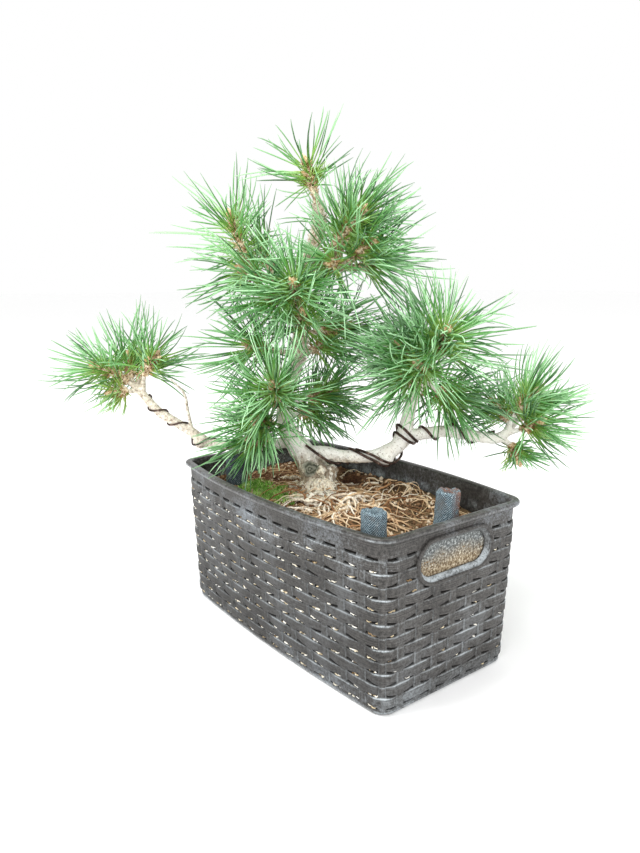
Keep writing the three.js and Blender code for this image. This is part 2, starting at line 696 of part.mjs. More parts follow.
// The shoot is a slim four-sided stem with a pointed bud. Its rings turn a little from one to
// the next, each quarter between two rings is two faces, and one of the two bears a needle.
function makeSpray(shoot, seed) {
  const random = seededRandom(seed);
  const { curve, share } = stemOf(shoot);
  const start = share + TOUCH_GAP / curve.getLength();
  const steps = Math.round(shoot.needles / SHOOT_SIDES);
  const points = [];
  for (let ring = 0; ring <= steps; ring++) {
    const u = mix(start, 1, ring / steps);
    const axis = curve.getTangentAt(u);
    const level = Math.abs(axis.z) < 0.9 ? new THREE.Vector3(0, 0, 1) : new THREE.Vector3(1, 0, 0);
    const side = new THREE.Vector3().crossVectors(axis, level).normalize();
    for (let corner = 0; corner < SHOOT_SIDES; corner++) {
      const turn = (corner * 2 * Math.PI) / SHOOT_SIDES + ring * SHOOT_TWIST;
      const arm = side.clone().applyAxisAngle(axis, turn);
      const radius = mix(STEM_END_RADIUS, SHOOT_TIP_RADIUS, ring / steps);
      points.push(curve.getPointAt(u).addScaledVector(arm, radius));
    }
  }
  const foot = points.push(curve.getPointAt(start)) - 1;
  const bud = points.push(curve.getPointAt(1).addScaledVector(curve.getTangentAt(1), BUD_LENGTH)) - 1;
  const faces = [];
  const placed = [];
  for (let corner = 0; corner < SHOOT_SIDES; corner++) {
    const next = (corner + 1) % SHOOT_SIDES;
    faces.push([foot, next, corner]);
    faces.push([steps * SHOOT_SIDES + corner, steps * SHOOT_SIDES + next, bud]);
  }
  for (let number = 0; number < steps * SHOOT_SIDES; number++) {
    const ring = Math.floor(number / SHOOT_SIDES);
    const corner = number % SHOOT_SIDES;
    const next = (corner + 1) % SHOOT_SIDES;
    const low = ring * SHOOT_SIDES;
    const high = low + SHOOT_SIDES;
    const bare = [low + corner, low + next, high + next];
    const bearing = [low + corner, high + next, high + corner];
    faces.push(bare);
    const [a, b, c] = bearing.map((i) => points[i]);
    const triangle = new THREE.Triangle(a, b, c);
    const face = { corners: bearing, normal: triangle.getNormal(new THREE.Vector3()) };
    face.centre = triangle.getMidpoint(new THREE.Vector3());
    const axis = curve.getTangentAt(mix(start, 1, (ring + 0.6) / steps));
    const step = (number + 0.5) / (steps * SHOOT_SIDES);
    const path = clearNeedle(shoot, face, axis, step, placed, random);
    if (path) {
      drawOutNeedle(points, faces, face, path);
      placed.push([path.root, path.middle], [path.middle, path.tip]);
    } else {
      faces.push(bearing);
    }
  }
  for (const [a, b] of placed) thickLines.push({ a, b, radius: NEEDLE_RADIUS, owner: shoot.name });
  const geometry = new THREE.BufferGeometry().setFromPoints(points);
  geometry.setIndex(faces.flat());
  return geometry;
}

// Tries one direction after another, further and further afield, until the needle is clear.
function clearNeedle(shoot, face, axis, step, placed, random) {
  for (let attempt = 0; attempt < NEEDLE_TRIES; attempt++) {
    const search = attempt / NEEDLE_TRIES;
    const reach = shoot.reach * mix(1, 0.7, search ** 2);
    const path = needlePath(face, axis, step, reach, search, random);
    const { root, middle, tip } = path;
    const high = tip.z > SOIL_LEVEL + SOIL_HEADROOM;
    const apart = placed.every(([a, b]) => Math.min(
      segmentDistance(root, middle, a, b),
      segmentDistance(middle, tip, a, b),
    ) > 2 * NEEDLE_RADIUS + SISTER_GAP);
    const free = isClear(root, middle, NEEDLE_RADIUS, NEEDLE_GAP, shoot.name)
      && isClear(middle, tip, NEEDLE_RADIUS, NEEDLE_GAP, shoot.name);
    if (high && apart && free) return path;
  }
  return null;
}

// Wires

// Spreads the places of a winding evenly over its turns: shares of the limb and angles round it.
function windingPlaces(winding) {
  const places = [winding[0]];
  for (let i = 1; i < winding.length; i++) {
    const [[shareBefore, turnBefore], [share, turn]] = [winding[i - 1], winding[i]];
    const steps = Math.ceil(Math.abs(turn - turnBefore) * WIRE_SPOTS_PER_TURN);
    for (let step = 1; step <= steps; step++) {
      places.push([mix(shareBefore, share, step / steps), mix(turnBefore, turn, step / steps)]);
    }
  }
  return places;
}

// The wire lies against the bark: at each angle round the limb it moves out until it is clear.
function wireCurve(limbPoints, { winding, radius }) {
  const { curve } = limbRadius(limbPoints);
  const spots = [];
  for (const [share, turns] of windingPlaces(winding)) {
    const tangent = curve.getTangentAt(share);
    const upward = new THREE.Vector3(0, 0, 1);
    upward.addScaledVector(tangent, -upward.dot(tangent)).normalize();
    const frontward = new THREE.Vector3().crossVectors(tangent, upward);
    const turn = 2 * Math.PI * turns;
    const outward = upward.multiplyScalar(Math.cos(turn)).addScaledVector(frontward, Math.sin(turn));
    const centre = curve.getPointAt(share);
    let reach = 0;
    let spot = centre;
    while (!isClear(spot, spot, radius, WIRE_GAP, 'wire')) {
      reach += 0.25;
      spot = centre.clone().addScaledVector(outward, reach);
    }
    spots.push({ centre, outward, reach });
  }
  const smooth = spots.map((spot, i) => {
    const before = spots[Math.max(i - 1, 0)].reach;
    const after = spots[Math.min(i + 1, spots.length - 1)].reach;
    return Math.max(spot.reach, (before + after) / 2);
  });
  return new THREE.CatmullRomCurve3(
    spots.map(({ centre, outward }, i) => centre.clone().addScaledVector(outward, smooth[i])),
  );
}

function makeWire(limbPoints, wire) {
  const curve = wireCurve(limbPoints, wire);
  const round = new THREE.EllipseCurve(0, 0, wire.radius, wire.radius);
  const section = new THREE.Shape(round.getPoints(WIRE_SIDES));
  const steps = Math.round(curve.getLength() / WIRE_STEP);
  const tube = new THREE.ExtrudeGeometry(section, { steps, bevelEnabled: false, extrudePath: curve });
  keepClearOf(curve, 0, 1, () => wire.radius, steps * 2, 'wire');
  return toSolid(tube);
}

// Assembly

addPart('basket', makeBasket(), basketPlastic);
addPart('handle_mesh_near', meshPanel(0), greyMesh);
addPart('handle_mesh_far', meshPanel(Math.PI), greyMesh);

const wood = makeWood();

let soil = soilBody();
for (const end of [0, Math.PI]) soil = soil.subtract(toSolid(meshPanel(end, TOUCH_GAP)));
for (const tube of meshTubes) soil = soil.subtract(toSolid(meshTube(tube, TOUCH_GAP)));
soil = soil.subtract(trunkHole());
for (const lump of [...knotSolids(TOUCH_GAP), ...rootSolids(TOUCH_GAP)]) soil = soil.subtract(lump);
addPart('soil', largestBody(soil), grittySoil);

for (const tube of meshTubes) {
  addPart(tube.name, toSolid(meshTube(tube)), blueMesh);
  const foot = new THREE.Vector3(tube.x, tube.y, SOIL_LEVEL);
  const top = new THREE.Vector3(tube.x, tube.y, tube.top - MESH_TUBE_RADIUS);
  thickLines.push({ a: foot, b: top, radius: MESH_TUBE_RADIUS, owner: tube.name });
}
const rim = wallRing(BASKET_HEIGHT - 4, 1.5);
rim.forEach((a, i) => {
  thickLines.push({ a, b: rim[(i + 1) % rim.length], radius: RIM_KEEP_OUT, owner: 'rim' });
});

addPart('trunk', wood, bark);

// Each winding lists shares of the limb's length with the turns made by then: whole turns lie on
// top of the limb, halves below it.
const rightWireLimb = [...limbs.rightBranch.slice(0, 5), ...limbs.rightFork.slice(1)];
const wires = [
  {
    name: 'wire_right_a',
    limb: rightWireLimb,
    radius: THICK_WIRE_RADIUS,
    winding: [
      [0.04, 0.1], [0.12, 0.3], [0.19, 0.5], [0.235, 1], [0.42, 1.5], [0.5, 2], [0.545, 2.5], [0.6, 3],
      [0.66, 3.5], [0.74, 4], [0.83, 4.5], [0.93, 5],
    ],
  },
  {
    name: 'wire_right_b',
    limb: rightWireLimb,
    radius: THICK_WIRE_RADIUS,
    winding: [[0.225, 0.5], [0.27, 1], [0.455, 1.5], [0.525, 2], [0.57, 2.4]],
  },
  {
    name: 'wire_left',
    limb: limbs.leftBranch,
    radius: THIN_WIRE_RADIUS,
    winding: [
      [0.2, 1], [0.28, 0.5], [0.34, 0], [0.42, -0.5], [0.48, -1], [0.58, -1.5], [0.66, -2], [0.75, -2.5],
      [0.8, -3], [0.88, -3.5], [0.93, -4],
    ],
  },
];
for (const { name, limb, ...wire } of wires) addPart(name, makeWire(limb, wire), copperWire);

sprays.forEach((shoot, number) => {
  addPart(`spray_${shoot.name}`, makeSpray(shoot, SEED + number), pineNeedles);
});

export default group;
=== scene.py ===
# %% [markdown]
# # A mugo pine bonsai in a woven plastic basket
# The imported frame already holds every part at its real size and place. This lesson dresses it:
# the basket gets its woven relief, the soil its roots and moss, the wood its bark and every
# shoot its needles. Each new piece stands where its plain solid stood, so nothing is fitted.

# %% Load the frame
import math

import bpy
import numpy as np
from mathutils import Matrix, Vector, noise
from mathutils.bvhtree import BVHTree


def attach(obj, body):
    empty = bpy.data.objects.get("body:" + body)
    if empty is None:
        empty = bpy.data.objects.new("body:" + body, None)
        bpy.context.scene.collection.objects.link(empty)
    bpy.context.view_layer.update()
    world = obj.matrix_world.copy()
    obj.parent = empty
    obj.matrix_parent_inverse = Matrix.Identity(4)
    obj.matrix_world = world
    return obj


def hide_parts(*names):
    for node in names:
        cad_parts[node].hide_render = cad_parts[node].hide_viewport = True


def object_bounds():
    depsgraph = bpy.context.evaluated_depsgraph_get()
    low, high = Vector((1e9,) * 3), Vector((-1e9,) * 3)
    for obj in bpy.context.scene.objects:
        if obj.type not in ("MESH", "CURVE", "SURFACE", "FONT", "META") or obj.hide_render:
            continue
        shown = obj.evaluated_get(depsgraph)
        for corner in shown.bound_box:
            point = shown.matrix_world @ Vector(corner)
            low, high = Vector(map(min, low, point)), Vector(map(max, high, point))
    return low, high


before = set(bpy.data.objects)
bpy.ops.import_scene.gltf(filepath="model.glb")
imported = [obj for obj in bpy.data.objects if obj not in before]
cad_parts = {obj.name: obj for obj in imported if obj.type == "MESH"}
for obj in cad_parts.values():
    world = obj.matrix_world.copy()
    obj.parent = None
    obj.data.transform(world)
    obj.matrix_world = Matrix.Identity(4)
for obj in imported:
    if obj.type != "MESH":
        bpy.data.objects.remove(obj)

MM = 0.001
cad_low, cad_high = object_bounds()
LOW = np.array(cad_low) / MM
HIGH = np.array(cad_high) / MM
print("CAD box in mm:", LOW.round(1), HIGH.round(1))

# %% [markdown]
# ## The camera, the floor and the light
# The camera looks down a little on the basket's front corner. Its place was solved from the
# basket's edges, so it is written as three directions and a point. The light is a pale room
# with three wide soft lamps, so that the shadows stay faint and no needle is lost in the dark.

# %% Camera
camera_data = bpy.data.cameras.new("camera")
camera_data.lens = 29.96
camera_data.sensor_width = 36
camera_data.clip_start = 0.01
camera = bpy.data.objects.new("camera", camera_data)
bpy.context.scene.collection.objects.link(camera)
camera_right = Vector((0.61360, 0.78961, -0.00288))
camera_up = Vector((-0.15606, 0.12485, 0.97983))
camera_back = Vector((0.77404, -0.60077, 0.19984))
camera_place = Vector((0.47519, -0.38683, 0.31089))
turn = Matrix((camera_right, camera_up, camera_back)).transposed()
camera.matrix_world = Matrix.Translation(camera_place) @ turn.to_4x4()
bpy.context.scene.camera = camera
print("camera at", [round(value, 3) for value in camera_place])


# %% Helpers for selecting and adding
def select_only(piece):
    bpy.ops.object.select_all(action="DESELECT")
    piece.select_set(True)
    bpy.context.view_layer.objects.active = piece


def fresh(add, **settings):
    """Adds a primitive with nothing else selected, and puts its place into its mesh."""
    bpy.ops.object.select_all(action="DESELECT")
    add(**settings)
    bpy.ops.object.transform_apply(location=True)
    return bpy.context.active_object


def apply_modifier(piece, kind, **settings):
    select_only(piece)
    made = piece.modifiers.new(kind.lower(), kind)
    for key, value in settings.items():
        setattr(made, key, value)
    bpy.ops.object.modifier_apply(modifier=made.name)


# %% Helpers for a mesh's points and openings
def put_points(piece, points):
    """Moves a piece's points to places given in mm."""
    piece.data.vertices.foreach_set("co", (points * MM).ravel())


def write_readings(piece, **readings):
    """Keeps one number with each point under each name; the finishes read them."""
    for name, values in readings.items():
        layer = piece.data.attributes.new(name, "FLOAT", "POINT")
        layer.data.foreach_set("value", values.ravel().astype(np.float32))


def face_outwards(piece):
    select_only(piece)
    bpy.ops.object.mode_set(mode="EDIT")
    bpy.ops.mesh.select_all(action="SELECT")
    bpy.ops.mesh.normals_make_consistent(inside=False)
    bpy.ops.object.mode_set(mode="OBJECT")


def close_openings(piece):
    """Welds the points that meet, fills every opening and turns all faces outwards."""
    select_only(piece)
    bpy.ops.object.mode_set(mode="EDIT")
    bpy.ops.mesh.select_all(action="SELECT")
    bpy.ops.mesh.remove_doubles(threshold=1e-6)
    bpy.ops.mesh.select_all(action="DESELECT")
    bpy.ops.mesh.select_mode(type="EDGE")
    bpy.ops.mesh.select_non_manifold()
    bpy.ops.mesh.edge_face_add()
    bpy.ops.object.mode_set(mode="OBJECT")
    face_outwards(piece)


# %% Material helpers
def new_finish(name, roughness=0.6, metallic=0.0, specular=0.5):
    finish = bpy.data.materials.new(name)
    finish.use_nodes = True
    shader = finish.node_tree.nodes["Principled BSDF"]
    shader.inputs["Roughness"].default_value = roughness
    shader.inputs["Metallic"].default_value = metallic
    shader.inputs["Specular IOR Level"].default_value = specular
    return finish


def add_node(finish, kind, settings=None, **inputs):
    made = finish.node_tree.nodes.new(kind)
    for key, value in (settings or {}).items():
        setattr(made, key, value)
    for key, value in inputs.items():
        socket = made.inputs[key.replace("_", " ")]
        if isinstance(value, bpy.types.NodeSocket):
            finish.node_tree.links.new(value, socket)
        else:
            socket.default_value = value
    return made


def place_in(finish):
    return add_node(finish, "ShaderNodeTexCoord").outputs["Object"]


def cloud(finish, scale, detail=4.0, roughness=0.55, place=None):
    made = add_node(
        finish, "ShaderNodeTexNoise", Scale=scale, Detail=detail, Roughness=roughness,
        Vector=place or place_in(finish),
    )
    return made.outputs["Fac"]


def reading(finish, name):
    return add_node(finish, "ShaderNodeAttribute", {"attribute_name": name}).outputs["Fac"]


def ramp(finish, value, stops):
    made = add_node(finish, "ShaderNodeValToRGB", Fac=value)
    marks = made.color_ramp.elements
    while len(marks) < len(stops):
        marks.new(0.5)
    for mark, (place, colour) in zip(marks, stops):
        mark.position = place
        mark.color = (*colour, 1.0)
    return made.outputs["Color"]


def grey_ramp(finish, value, low, high, start=0.0, end=1.0):
    return ramp(finish, value, [(low, (start,) * 3), (high, (end,) * 3)])


def blend(finish, share, first, second, how="MIX"):
    made = add_node(finish, "ShaderNodeMix", {"data_type": "RGBA", "blend_type": how})
    for number, value in ((0, share), (6, first), (7, second)):
        if isinstance(value, bpy.types.NodeSocket):
            finish.node_tree.links.new(value, made.inputs[number])
        elif number == 0:
            made.inputs[number].default_value = value
        else:
            made.inputs[number].default_value = (*value, 1.0)
    return made.outputs[2]


def paint(finish, colour=None, roughness=None, height=None, strength=0.3, distance=0.0004):
    shader = finish.node_tree.nodes["Principled BSDF"]
    links = finish.node_tree.links
    if colour is not None:
        links.new(colour, shader.inputs["Base Color"])
    if roughness is not None:
        links.new(roughness, shader.inputs["Roughness"])
    if height is not None:
        bump = add_node(
            finish, "ShaderNodeBump", Strength=strength, Distance=distance, Height=height
        )
        links.new(bump.outputs["Normal"], shader.inputs["Normal"])


# %% Helpers for zones and tints
def times(finish, first, second):
    return blend(finish, 1.0, first, second, "MULTIPLY")


def along_axis(finish, place, axis):
    return add_node(finish, "ShaderNodeSeparateXYZ", Vector=place).outputs[axis]


def between(finish, value, low, high, start=0.0):
    """Climbs from start at low to 1 at high, and stays level beyond them."""
    made = add_node(
        finish, "ShaderNodeMapRange", Value=value, From_Min=low, From_Max=high, To_Min=start)
    return made.outputs["Result"]


def tinted_finish(name, stops, roughness, specular=0.5):
    """A finish for many small copies: the colour of each goes by its own tint."""
    finish = new_finish(name, roughness=roughness, specular=specular)
    paint(finish, ramp(finish, reading(finish, "tint"), stops))
    return finish


# %% Floor
floor = fresh(bpy.ops.mesh.primitive_plane_add, size=40, location=(0, 0, -0.0005))
floor.name = "floor"
floor_finish = new_finish("pale_floor", roughness=0.9, specular=0.1)
floor_finish.node_tree.nodes["Principled BSDF"].inputs["Base Color"].default_value = (
    0.99, 0.99, 0.99, 1.0)
floor.data.materials.append(floor_finish)


# %% Lights
def soft_lamp(name, place, size, power, colour=(1, 1, 1)):
    lamp_data = bpy.data.lights.new(name, "AREA")
    lamp_data.shape = "DISK"
    lamp_data.size = size
    lamp_data.energy = power
    lamp_data.color = colour
    lamp = bpy.data.objects.new(name, lamp_data)
    bpy.context.scene.collection.objects.link(lamp)
    lamp.location = place
    aim = Vector((0, 0, 0.2)) - Vector(place)
    lamp.rotation_euler = aim.to_track_quat("-Z", "Y").to_euler()


soft_lamp("key_lamp", (-0.3, -0.8, 2.1), 0.8, 30)
soft_lamp("front_lamp", (1.1, -1.7, 0.75), 1.2, 19)
soft_lamp("side_lamp", (1.9, 0.5, 1.1), 1.2, 14)
bpy.context.scene.view_settings.view_transform = "Standard"
room = bpy.data.worlds.new("pale_room")
room.use_nodes = True
room.node_tree.nodes["Background"].inputs["Color"].default_value = (1.0, 1.0, 1.0, 1.0)
room.node_tree.nodes["Background"].inputs["Strength"].default_value = 1.0
bpy.context.scene.world = room

# %% [markdown]
# ## Shapes that repeat
# A needle, a scale or a crumb occurs hundreds of times. It is modelled once, its points and
# faces are read, and each copy is bent and placed with arrays. All copies of one piece end up
# in one mesh, with two numbers at each point: tint, the same all over a copy, and run, which
# goes from 0 at its foot to 1 at its tip. The materials read both.


# %% Reading and joining shapes
def read_shape(piece, keep=False):
    """Points in mm and faces of a piece, which is removed unless it is kept."""
    mesh = piece.data
    points = np.empty(len(mesh.vertices) * 3)
    mesh.vertices.foreach_get("co", points)
    loops = np.empty(len(mesh.loops), int)
    mesh.loops.foreach_get("vertex_index", loops)
    totals = np.empty(len(mesh.polygons), int)
    mesh.polygons.foreach_get("loop_total", totals)
    shape = {"points": points.reshape(-1, 3) / MM, "loops": loops, "totals": totals}
    if not keep:
        bpy.data.objects.remove(piece)
    return shape


def copies(shape, placed, tints, runs, finish=0):
    """One part from many copies of a shape; placed holds the points of each copy."""
    count, size = placed.shape[0], placed.shape[1]
    offsets = (np.arange(count) * size)[:, None]
    return {
        "points": placed.reshape(-1, 3),
        "loops": (shape["loops"][None, :] + offsets).ravel(),
        "totals": np.tile(shape["totals"], count),
        "tint": np.repeat(tints, size),
        "run": np.tile(runs, count) if np.ndim(runs) == 1 else runs.ravel(),
        "finish": np.full(len(shape["totals"]) * count, finish),
    }


def build_piece(name, parts, finishes, smooth=True):
    """Joins parts to one mesh, with the tint and run of each point and its finishes."""
    shift = np.cumsum([0] + [len(part["points"]) for part in parts])
    points = np.concatenate([part["points"] for part in parts])
    loops = np.concatenate([part["loops"] + start for part, start in zip(parts, shift)])
    totals = np.concatenate([part["totals"] for part in parts])
    mesh = bpy.data.meshes.new(name)
    mesh.vertices.add(len(points))
    mesh.vertices.foreach_set("co", (points * MM).ravel())
    mesh.loops.add(len(loops))
    mesh.loops.foreach_set("vertex_index", loops)
    mesh.polygons.add(len(totals))
    mesh.polygons.foreach_set("loop_start", np.concatenate([[0], np.cumsum(totals)[:-1]]))
    for finish in finishes:
        mesh.materials.append(finish)
    finish_numbers = np.concatenate([part["finish"] for part in parts])
    mesh.polygons.foreach_set("material_index", finish_numbers)
    piece = bpy.data.objects.new(name, mesh)
    bpy.context.scene.collection.objects.link(piece)
    tints, runs = (np.concatenate([part[key] for part in parts]) for key in ("tint", "run"))
    write_readings(piece, tint=tints, run=runs)
    mesh.update(calc_edges=True)
    mesh.validate()
    mesh.polygons.foreach_set("use_smooth", np.full(len(totals), smooth))
    return piece


def hand_in(piece, slot, *nodes):
    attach(piece, "root")
    if nodes:
        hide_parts(*nodes)
    faces = sum(len(face.vertices) - 2 for face in piece.data.polygons)
    print(f"{piece.name}: {faces} triangles")
    return faces


def touch_tree(piece):
    """A search tree of a piece's faces in mm, which tells what a needle or a root would meet."""
    points = read_shape(piece, keep=True)["points"]
    faces = [tuple(face.vertices) for face in piece.data.polygons]
    return BVHTree.FromPolygons([tuple(point) for point in points], faces)


# %% Tubes along a path
def turning_frames(path):
    """Directions along a path and two across it that turn with it and never twist."""
    ahead = np.gradient(path, axis=0)
    ahead /= np.linalg.norm(ahead, axis=1)[:, None]
    side = np.cross(ahead[0], (0, 0, 1) if abs(ahead[0][2]) < 0.9 else (1, 0, 0))
    sides = []
    for direction in ahead:
        side = side - direction * side.dot(direction)
        side = side / np.linalg.norm(side)
        sides.append(side)
    sides = np.array(sides)
    return ahead, sides, np.cross(ahead, sides)


def tube(path, radii, sides=6, tint=0.5, finish=0):
    """A closed tube round a path, as a part for build_piece."""
    path = np.asarray(path, float)
    radii = np.broadcast_to(radii, len(path))
    ahead, first, second = turning_frames(path)
    angles = np.arange(sides) * 2 * np.pi / sides
    ring = first[:, None] * np.cos(angles)[None, :, None]
    ring = ring + second[:, None] * np.sin(angles)[None, :, None]
    points = path[:, None] + ring * radii[:, None, None]
    points = np.concatenate([points.reshape(-1, 3), path[:1], path[-1:]])
    foot, tip = len(points) - 2, len(points) - 1
    last = (len(path) - 1) * sides
    here = np.arange(sides)
    after = (here + 1) % sides
    rows = (np.arange(len(path) - 1) * sides)[:, None]
    walls = np.stack(
        [rows + here, rows + after, rows + sides + after, rows + sides + here], axis=-1)
    foot_cap = np.stack([np.full(sides, foot), after, here], axis=-1)
    tip_cap = np.stack([np.full(sides, tip), last + here, last + after], axis=-1)
    loops = np.concatenate([walls.ravel(), foot_cap.ravel(), tip_cap.ravel()])
    wall_count = (len(path) - 1) * sides
    run = np.concatenate([np.repeat(np.linspace(0, 1, len(path)), sides), [0, 1]])
    return {
        "points": points,
        "loops": loops,
        "totals": np.concatenate([np.full(wall_count, 4), np.full(2 * sides, 3)]),
        "tint": np.full(len(points), tint),
        "run": run,
        "finish": np.full(wall_count + 2 * sides, finish),
    }


# %% [markdown]
# ## The basket
# The basket is one moulding that imitates weaving. Upright posts stand every 20 mm on the long
# sides and every 17.5 mm on the short ones, and twelve rows of strands pass over every second
# post. Between two posts a thin slot is left open at the edge of each row. It could be built
# strand by strand, but the real one is a single skin, so a flat grid is wrapped round the
# basket's outline instead and pushed in and out by the height of the weave.

# %% Sizes of the basket
BASKET_HEIGHT = 140.0
LIP_UNDERSIDE = 135.8
LONG_HALF = (138.0, 141.7)
WIDE_HALF = (69.3, 74.8)
BOW = (4.6, 11.8)
CORNER = 12.0
WALL = 2.2
FLOOR = 2.5
FIRST_ROW = 5.7
ROW = 9.75
ROWS = 12
WEAVE_TOP = FIRST_ROW + ROWS * ROW
POSTS_ON_SIDE = (8, 14, 8, 14)
LONG_PITCH, SHORT_PITCH = 20.0, 17.5
HANDLE_HEIGHT = 111.5
HANDLE_HALF = 23.5
HANDLE_ROUND = 12.5


def at_height(pair, height):
    """A size at some height, from its values at the foot and under the lip."""
    return pair[0] + (pair[1] - pair[0]) * height / LIP_UNDERSIDE


def wall_places(side, share, height, proud):
    """Points on the wall: side 0 faces +X, share runs from corner to corner, proud is outward."""
    long_half = at_height(LONG_HALF, height)
    wide_half = at_height(WIDE_HALF, height)
    is_long = side % 2 == 1
    out = np.where(is_long, wide_half, long_half)
    reach = np.where(is_long, long_half, wide_half)
    bow = np.where(is_long, at_height(BOW, height), 0.0)
    along = reach * (2 * share - 1)
    straight = reach - CORNER
    beyond = np.clip(np.abs(along) - straight, 0, CORNER)
    angle = beyond / CORNER * np.pi / 4
    flat = beyond <= 0
    bulge = bow * np.clip(1 - (along / straight) ** 2, 0, 1)
    outward = np.where(flat, out + bulge + proud, out - CORNER + (CORNER + proud) * np.cos(angle))
    round_end = straight + (CORNER + proud) * np.sin(angle)
    sideways = np.where(flat, along, np.sign(along) * round_end)
    facing = side * np.pi / 2
    x = outward * np.cos(facing) - sideways * np.sin(facing)
    y = outward * np.sin(facing) + sideways * np.cos(facing)
    return np.stack([x, y, np.broadcast_to(height, x.shape)], axis=-1)


# %% The height of the weave
POST_HALF = 3.3
SLOT_HALF_HEIGHT = 0.75
TOP_SLOT_HALF_HEIGHT = 1.15
STRAND_SWELL = 0.6
SLOT_DEPTH = -1.9


def ease(value, low, high):
    """A soft step: 0 below low, 1 above high."""
    share = np.clip((value - low) / (high - low), 0, 1)
    return share * share * (3 - 2 * share)


def in_row(stake, height):
    """The row at a height, how far up in it that is, and how far the strand is from in front."""
    row = np.clip(np.floor((height - FIRST_ROW) / ROW) + 1, 1, ROWS)
    across = (height - FIRST_ROW) / ROW - (row - 1)
    return row, across, np.abs((stake + row) % 2 - 1)


def weave_relief(stake, pitch, height):
    """How far the woven skin stands out, and how deep in a slot a place lies (0 or 1)."""
    _, across, away = in_row(stake, height)
    edge = np.abs(2 * np.clip(across, 0, 1) - 1)
    crown = 1 - 0.55 * ease(edge, 0.62, 0.98)
    strand = (0.25 + 1.55 * (1 - ease(away, 0.3, 0.86))) * crown
    off_post = np.abs(stake - np.round(stake)) * pitch
    body = 1 - ease(off_post, POST_HALF - 0.9, POST_HALF + 0.2)
    post = np.where(away > 0.5, body * (1.0 + 0.45 * (1 - edge ** 2)), 0)
    relief = np.maximum(strand, post)
    woven = (height > FIRST_ROW - 0.01) & (height < WEAVE_TOP + 0.01)
    relief = np.where(woven, relief, 0.35)
    nearest_edge = np.round((height - FIRST_ROW) / ROW) * ROW + FIRST_ROW
    nearest_edge = np.clip(nearest_edge, FIRST_ROW, WEAVE_TOP)
    between_posts = np.abs(stake - np.floor(stake) - 0.5) * pitch
    is_top = nearest_edge > WEAVE_TOP - 0.5 * ROW
    half_height = np.where(is_top, TOP_SLOT_HALF_HEIGHT, SLOT_HALF_HEIGHT)
    in_slot = (np.abs(height - nearest_edge) < half_height) & (between_posts < pitch / 2 - 4.0)
    return np.where(in_slot, SLOT_DEPTH, relief), in_slot.astype(float)


def swelling(stake, height):
    """A strand is broader where it passes in front: how far up this moves a point."""
    row, across, _ = in_row(stake, height)
    across = np.clip(across, 0, 1)
    front = np.cos(np.pi * (stake + row))
    woven = FIRST_ROW < height < WEAVE_TOP
    return STRAND_SWELL * woven * front * ((row > 1) * (1 - across) - (row < ROWS) * across)


# %% Columns and rows of the sheet
def sheet_columns():
    """Side, share of the side, place among its posts and their pitch, for each column."""
    places = []
    for side, count in enumerate(POSTS_ON_SIDE):
        pitch = LONG_PITCH if side % 2 else SHORT_PITCH
        near = [2.2, 3.1, 3.6, 3.95, 4.05, pitch / 2 - 2]
        marks = [0, *near, *(pitch - mark for mark in reversed(near))]
        for post in range(count):
            for mark in marks:
                place = post + mark / pitch
                places.append((side, place / count, place, pitch))
    return np.array(places).T


def sheet_heights():
    heights = [0.0, 0.6, 1.6, 3.4]
    for row in range(ROWS):
        foot = FIRST_ROW + row * ROW
        heights += [foot + step for step in (-0.8, -0.7, 0.7, 0.8, 2.0, 3.5, 4.9, 6.3, 7.6, 8.3)]
    heights += [WEAVE_TOP + step for step in (-1.2, -1.1, 1.1, 1.2, 2.4)]
    return heights + [129.0, 134.6]


columns = sheet_columns()
outer_heights = sheet_heights()
print("sheet:", columns.shape[1], "columns,", len(outer_heights), "outer rows")

# %% The profile of lip, inner wall and floor
lip_profile = [
    (135.6, 0.6), (135.5, 2.2), (135.7, 3.9), (136.5, 4.8), (137.6, 5.0), (138.8, 4.7),
    (139.6, 3.9), (140.0, 2.6), (140.0, 0.6), (139.8, -0.9), (139.2, -1.8), (138.0, -2.2),
]
inner_heights = [133.0, 128.0, 123.6, 123.5, 122.7, 121.9, 121.8, 119.0, 116.0, 113.9, 113.8,
                 112.2, 112.1, 108.0, 60.0, FLOOR]


# %% Wrap the sheet round the basket
def edge_highlights(stake, pitch, share, height):
    """Painted highlights: pale lines near the upper edge of each strand, stronger at the corners,
    and along the edges of each post.
    """
    _, across, away = in_row(stake, height)
    strand = math.exp(-((across * ROW - 8.3) / 0.45) ** 2) * (1 - 0.7 * ease(away, 0.35, 0.8))
    strand = strand * (1 + 1.6 * ease(np.abs(2 * share - 1), 0.90, 0.97))
    off_post = np.abs(stake - np.round(stake)) * pitch
    post = 0.4 * (np.abs(off_post - 3.1) < 0.2) * (away > 0.5) * (across > 0.05) * (across < 0.95)
    woven = FIRST_ROW < height < WEAVE_TOP
    return np.where(woven, np.maximum(strand, post), 0)


def fibre_place(stake, pitch, height):
    """Where a point lies across its fibre in mm; every strand and post has a stretch of its own."""
    row, across, away = in_row(stake, height)
    off_post = (stake - np.round(stake)) * pitch
    on_post = (away > 0.5) & (np.abs(off_post) < POST_HALF)
    return np.where(on_post, 40 * np.round(stake) + off_post, 37 * row + across * ROW)


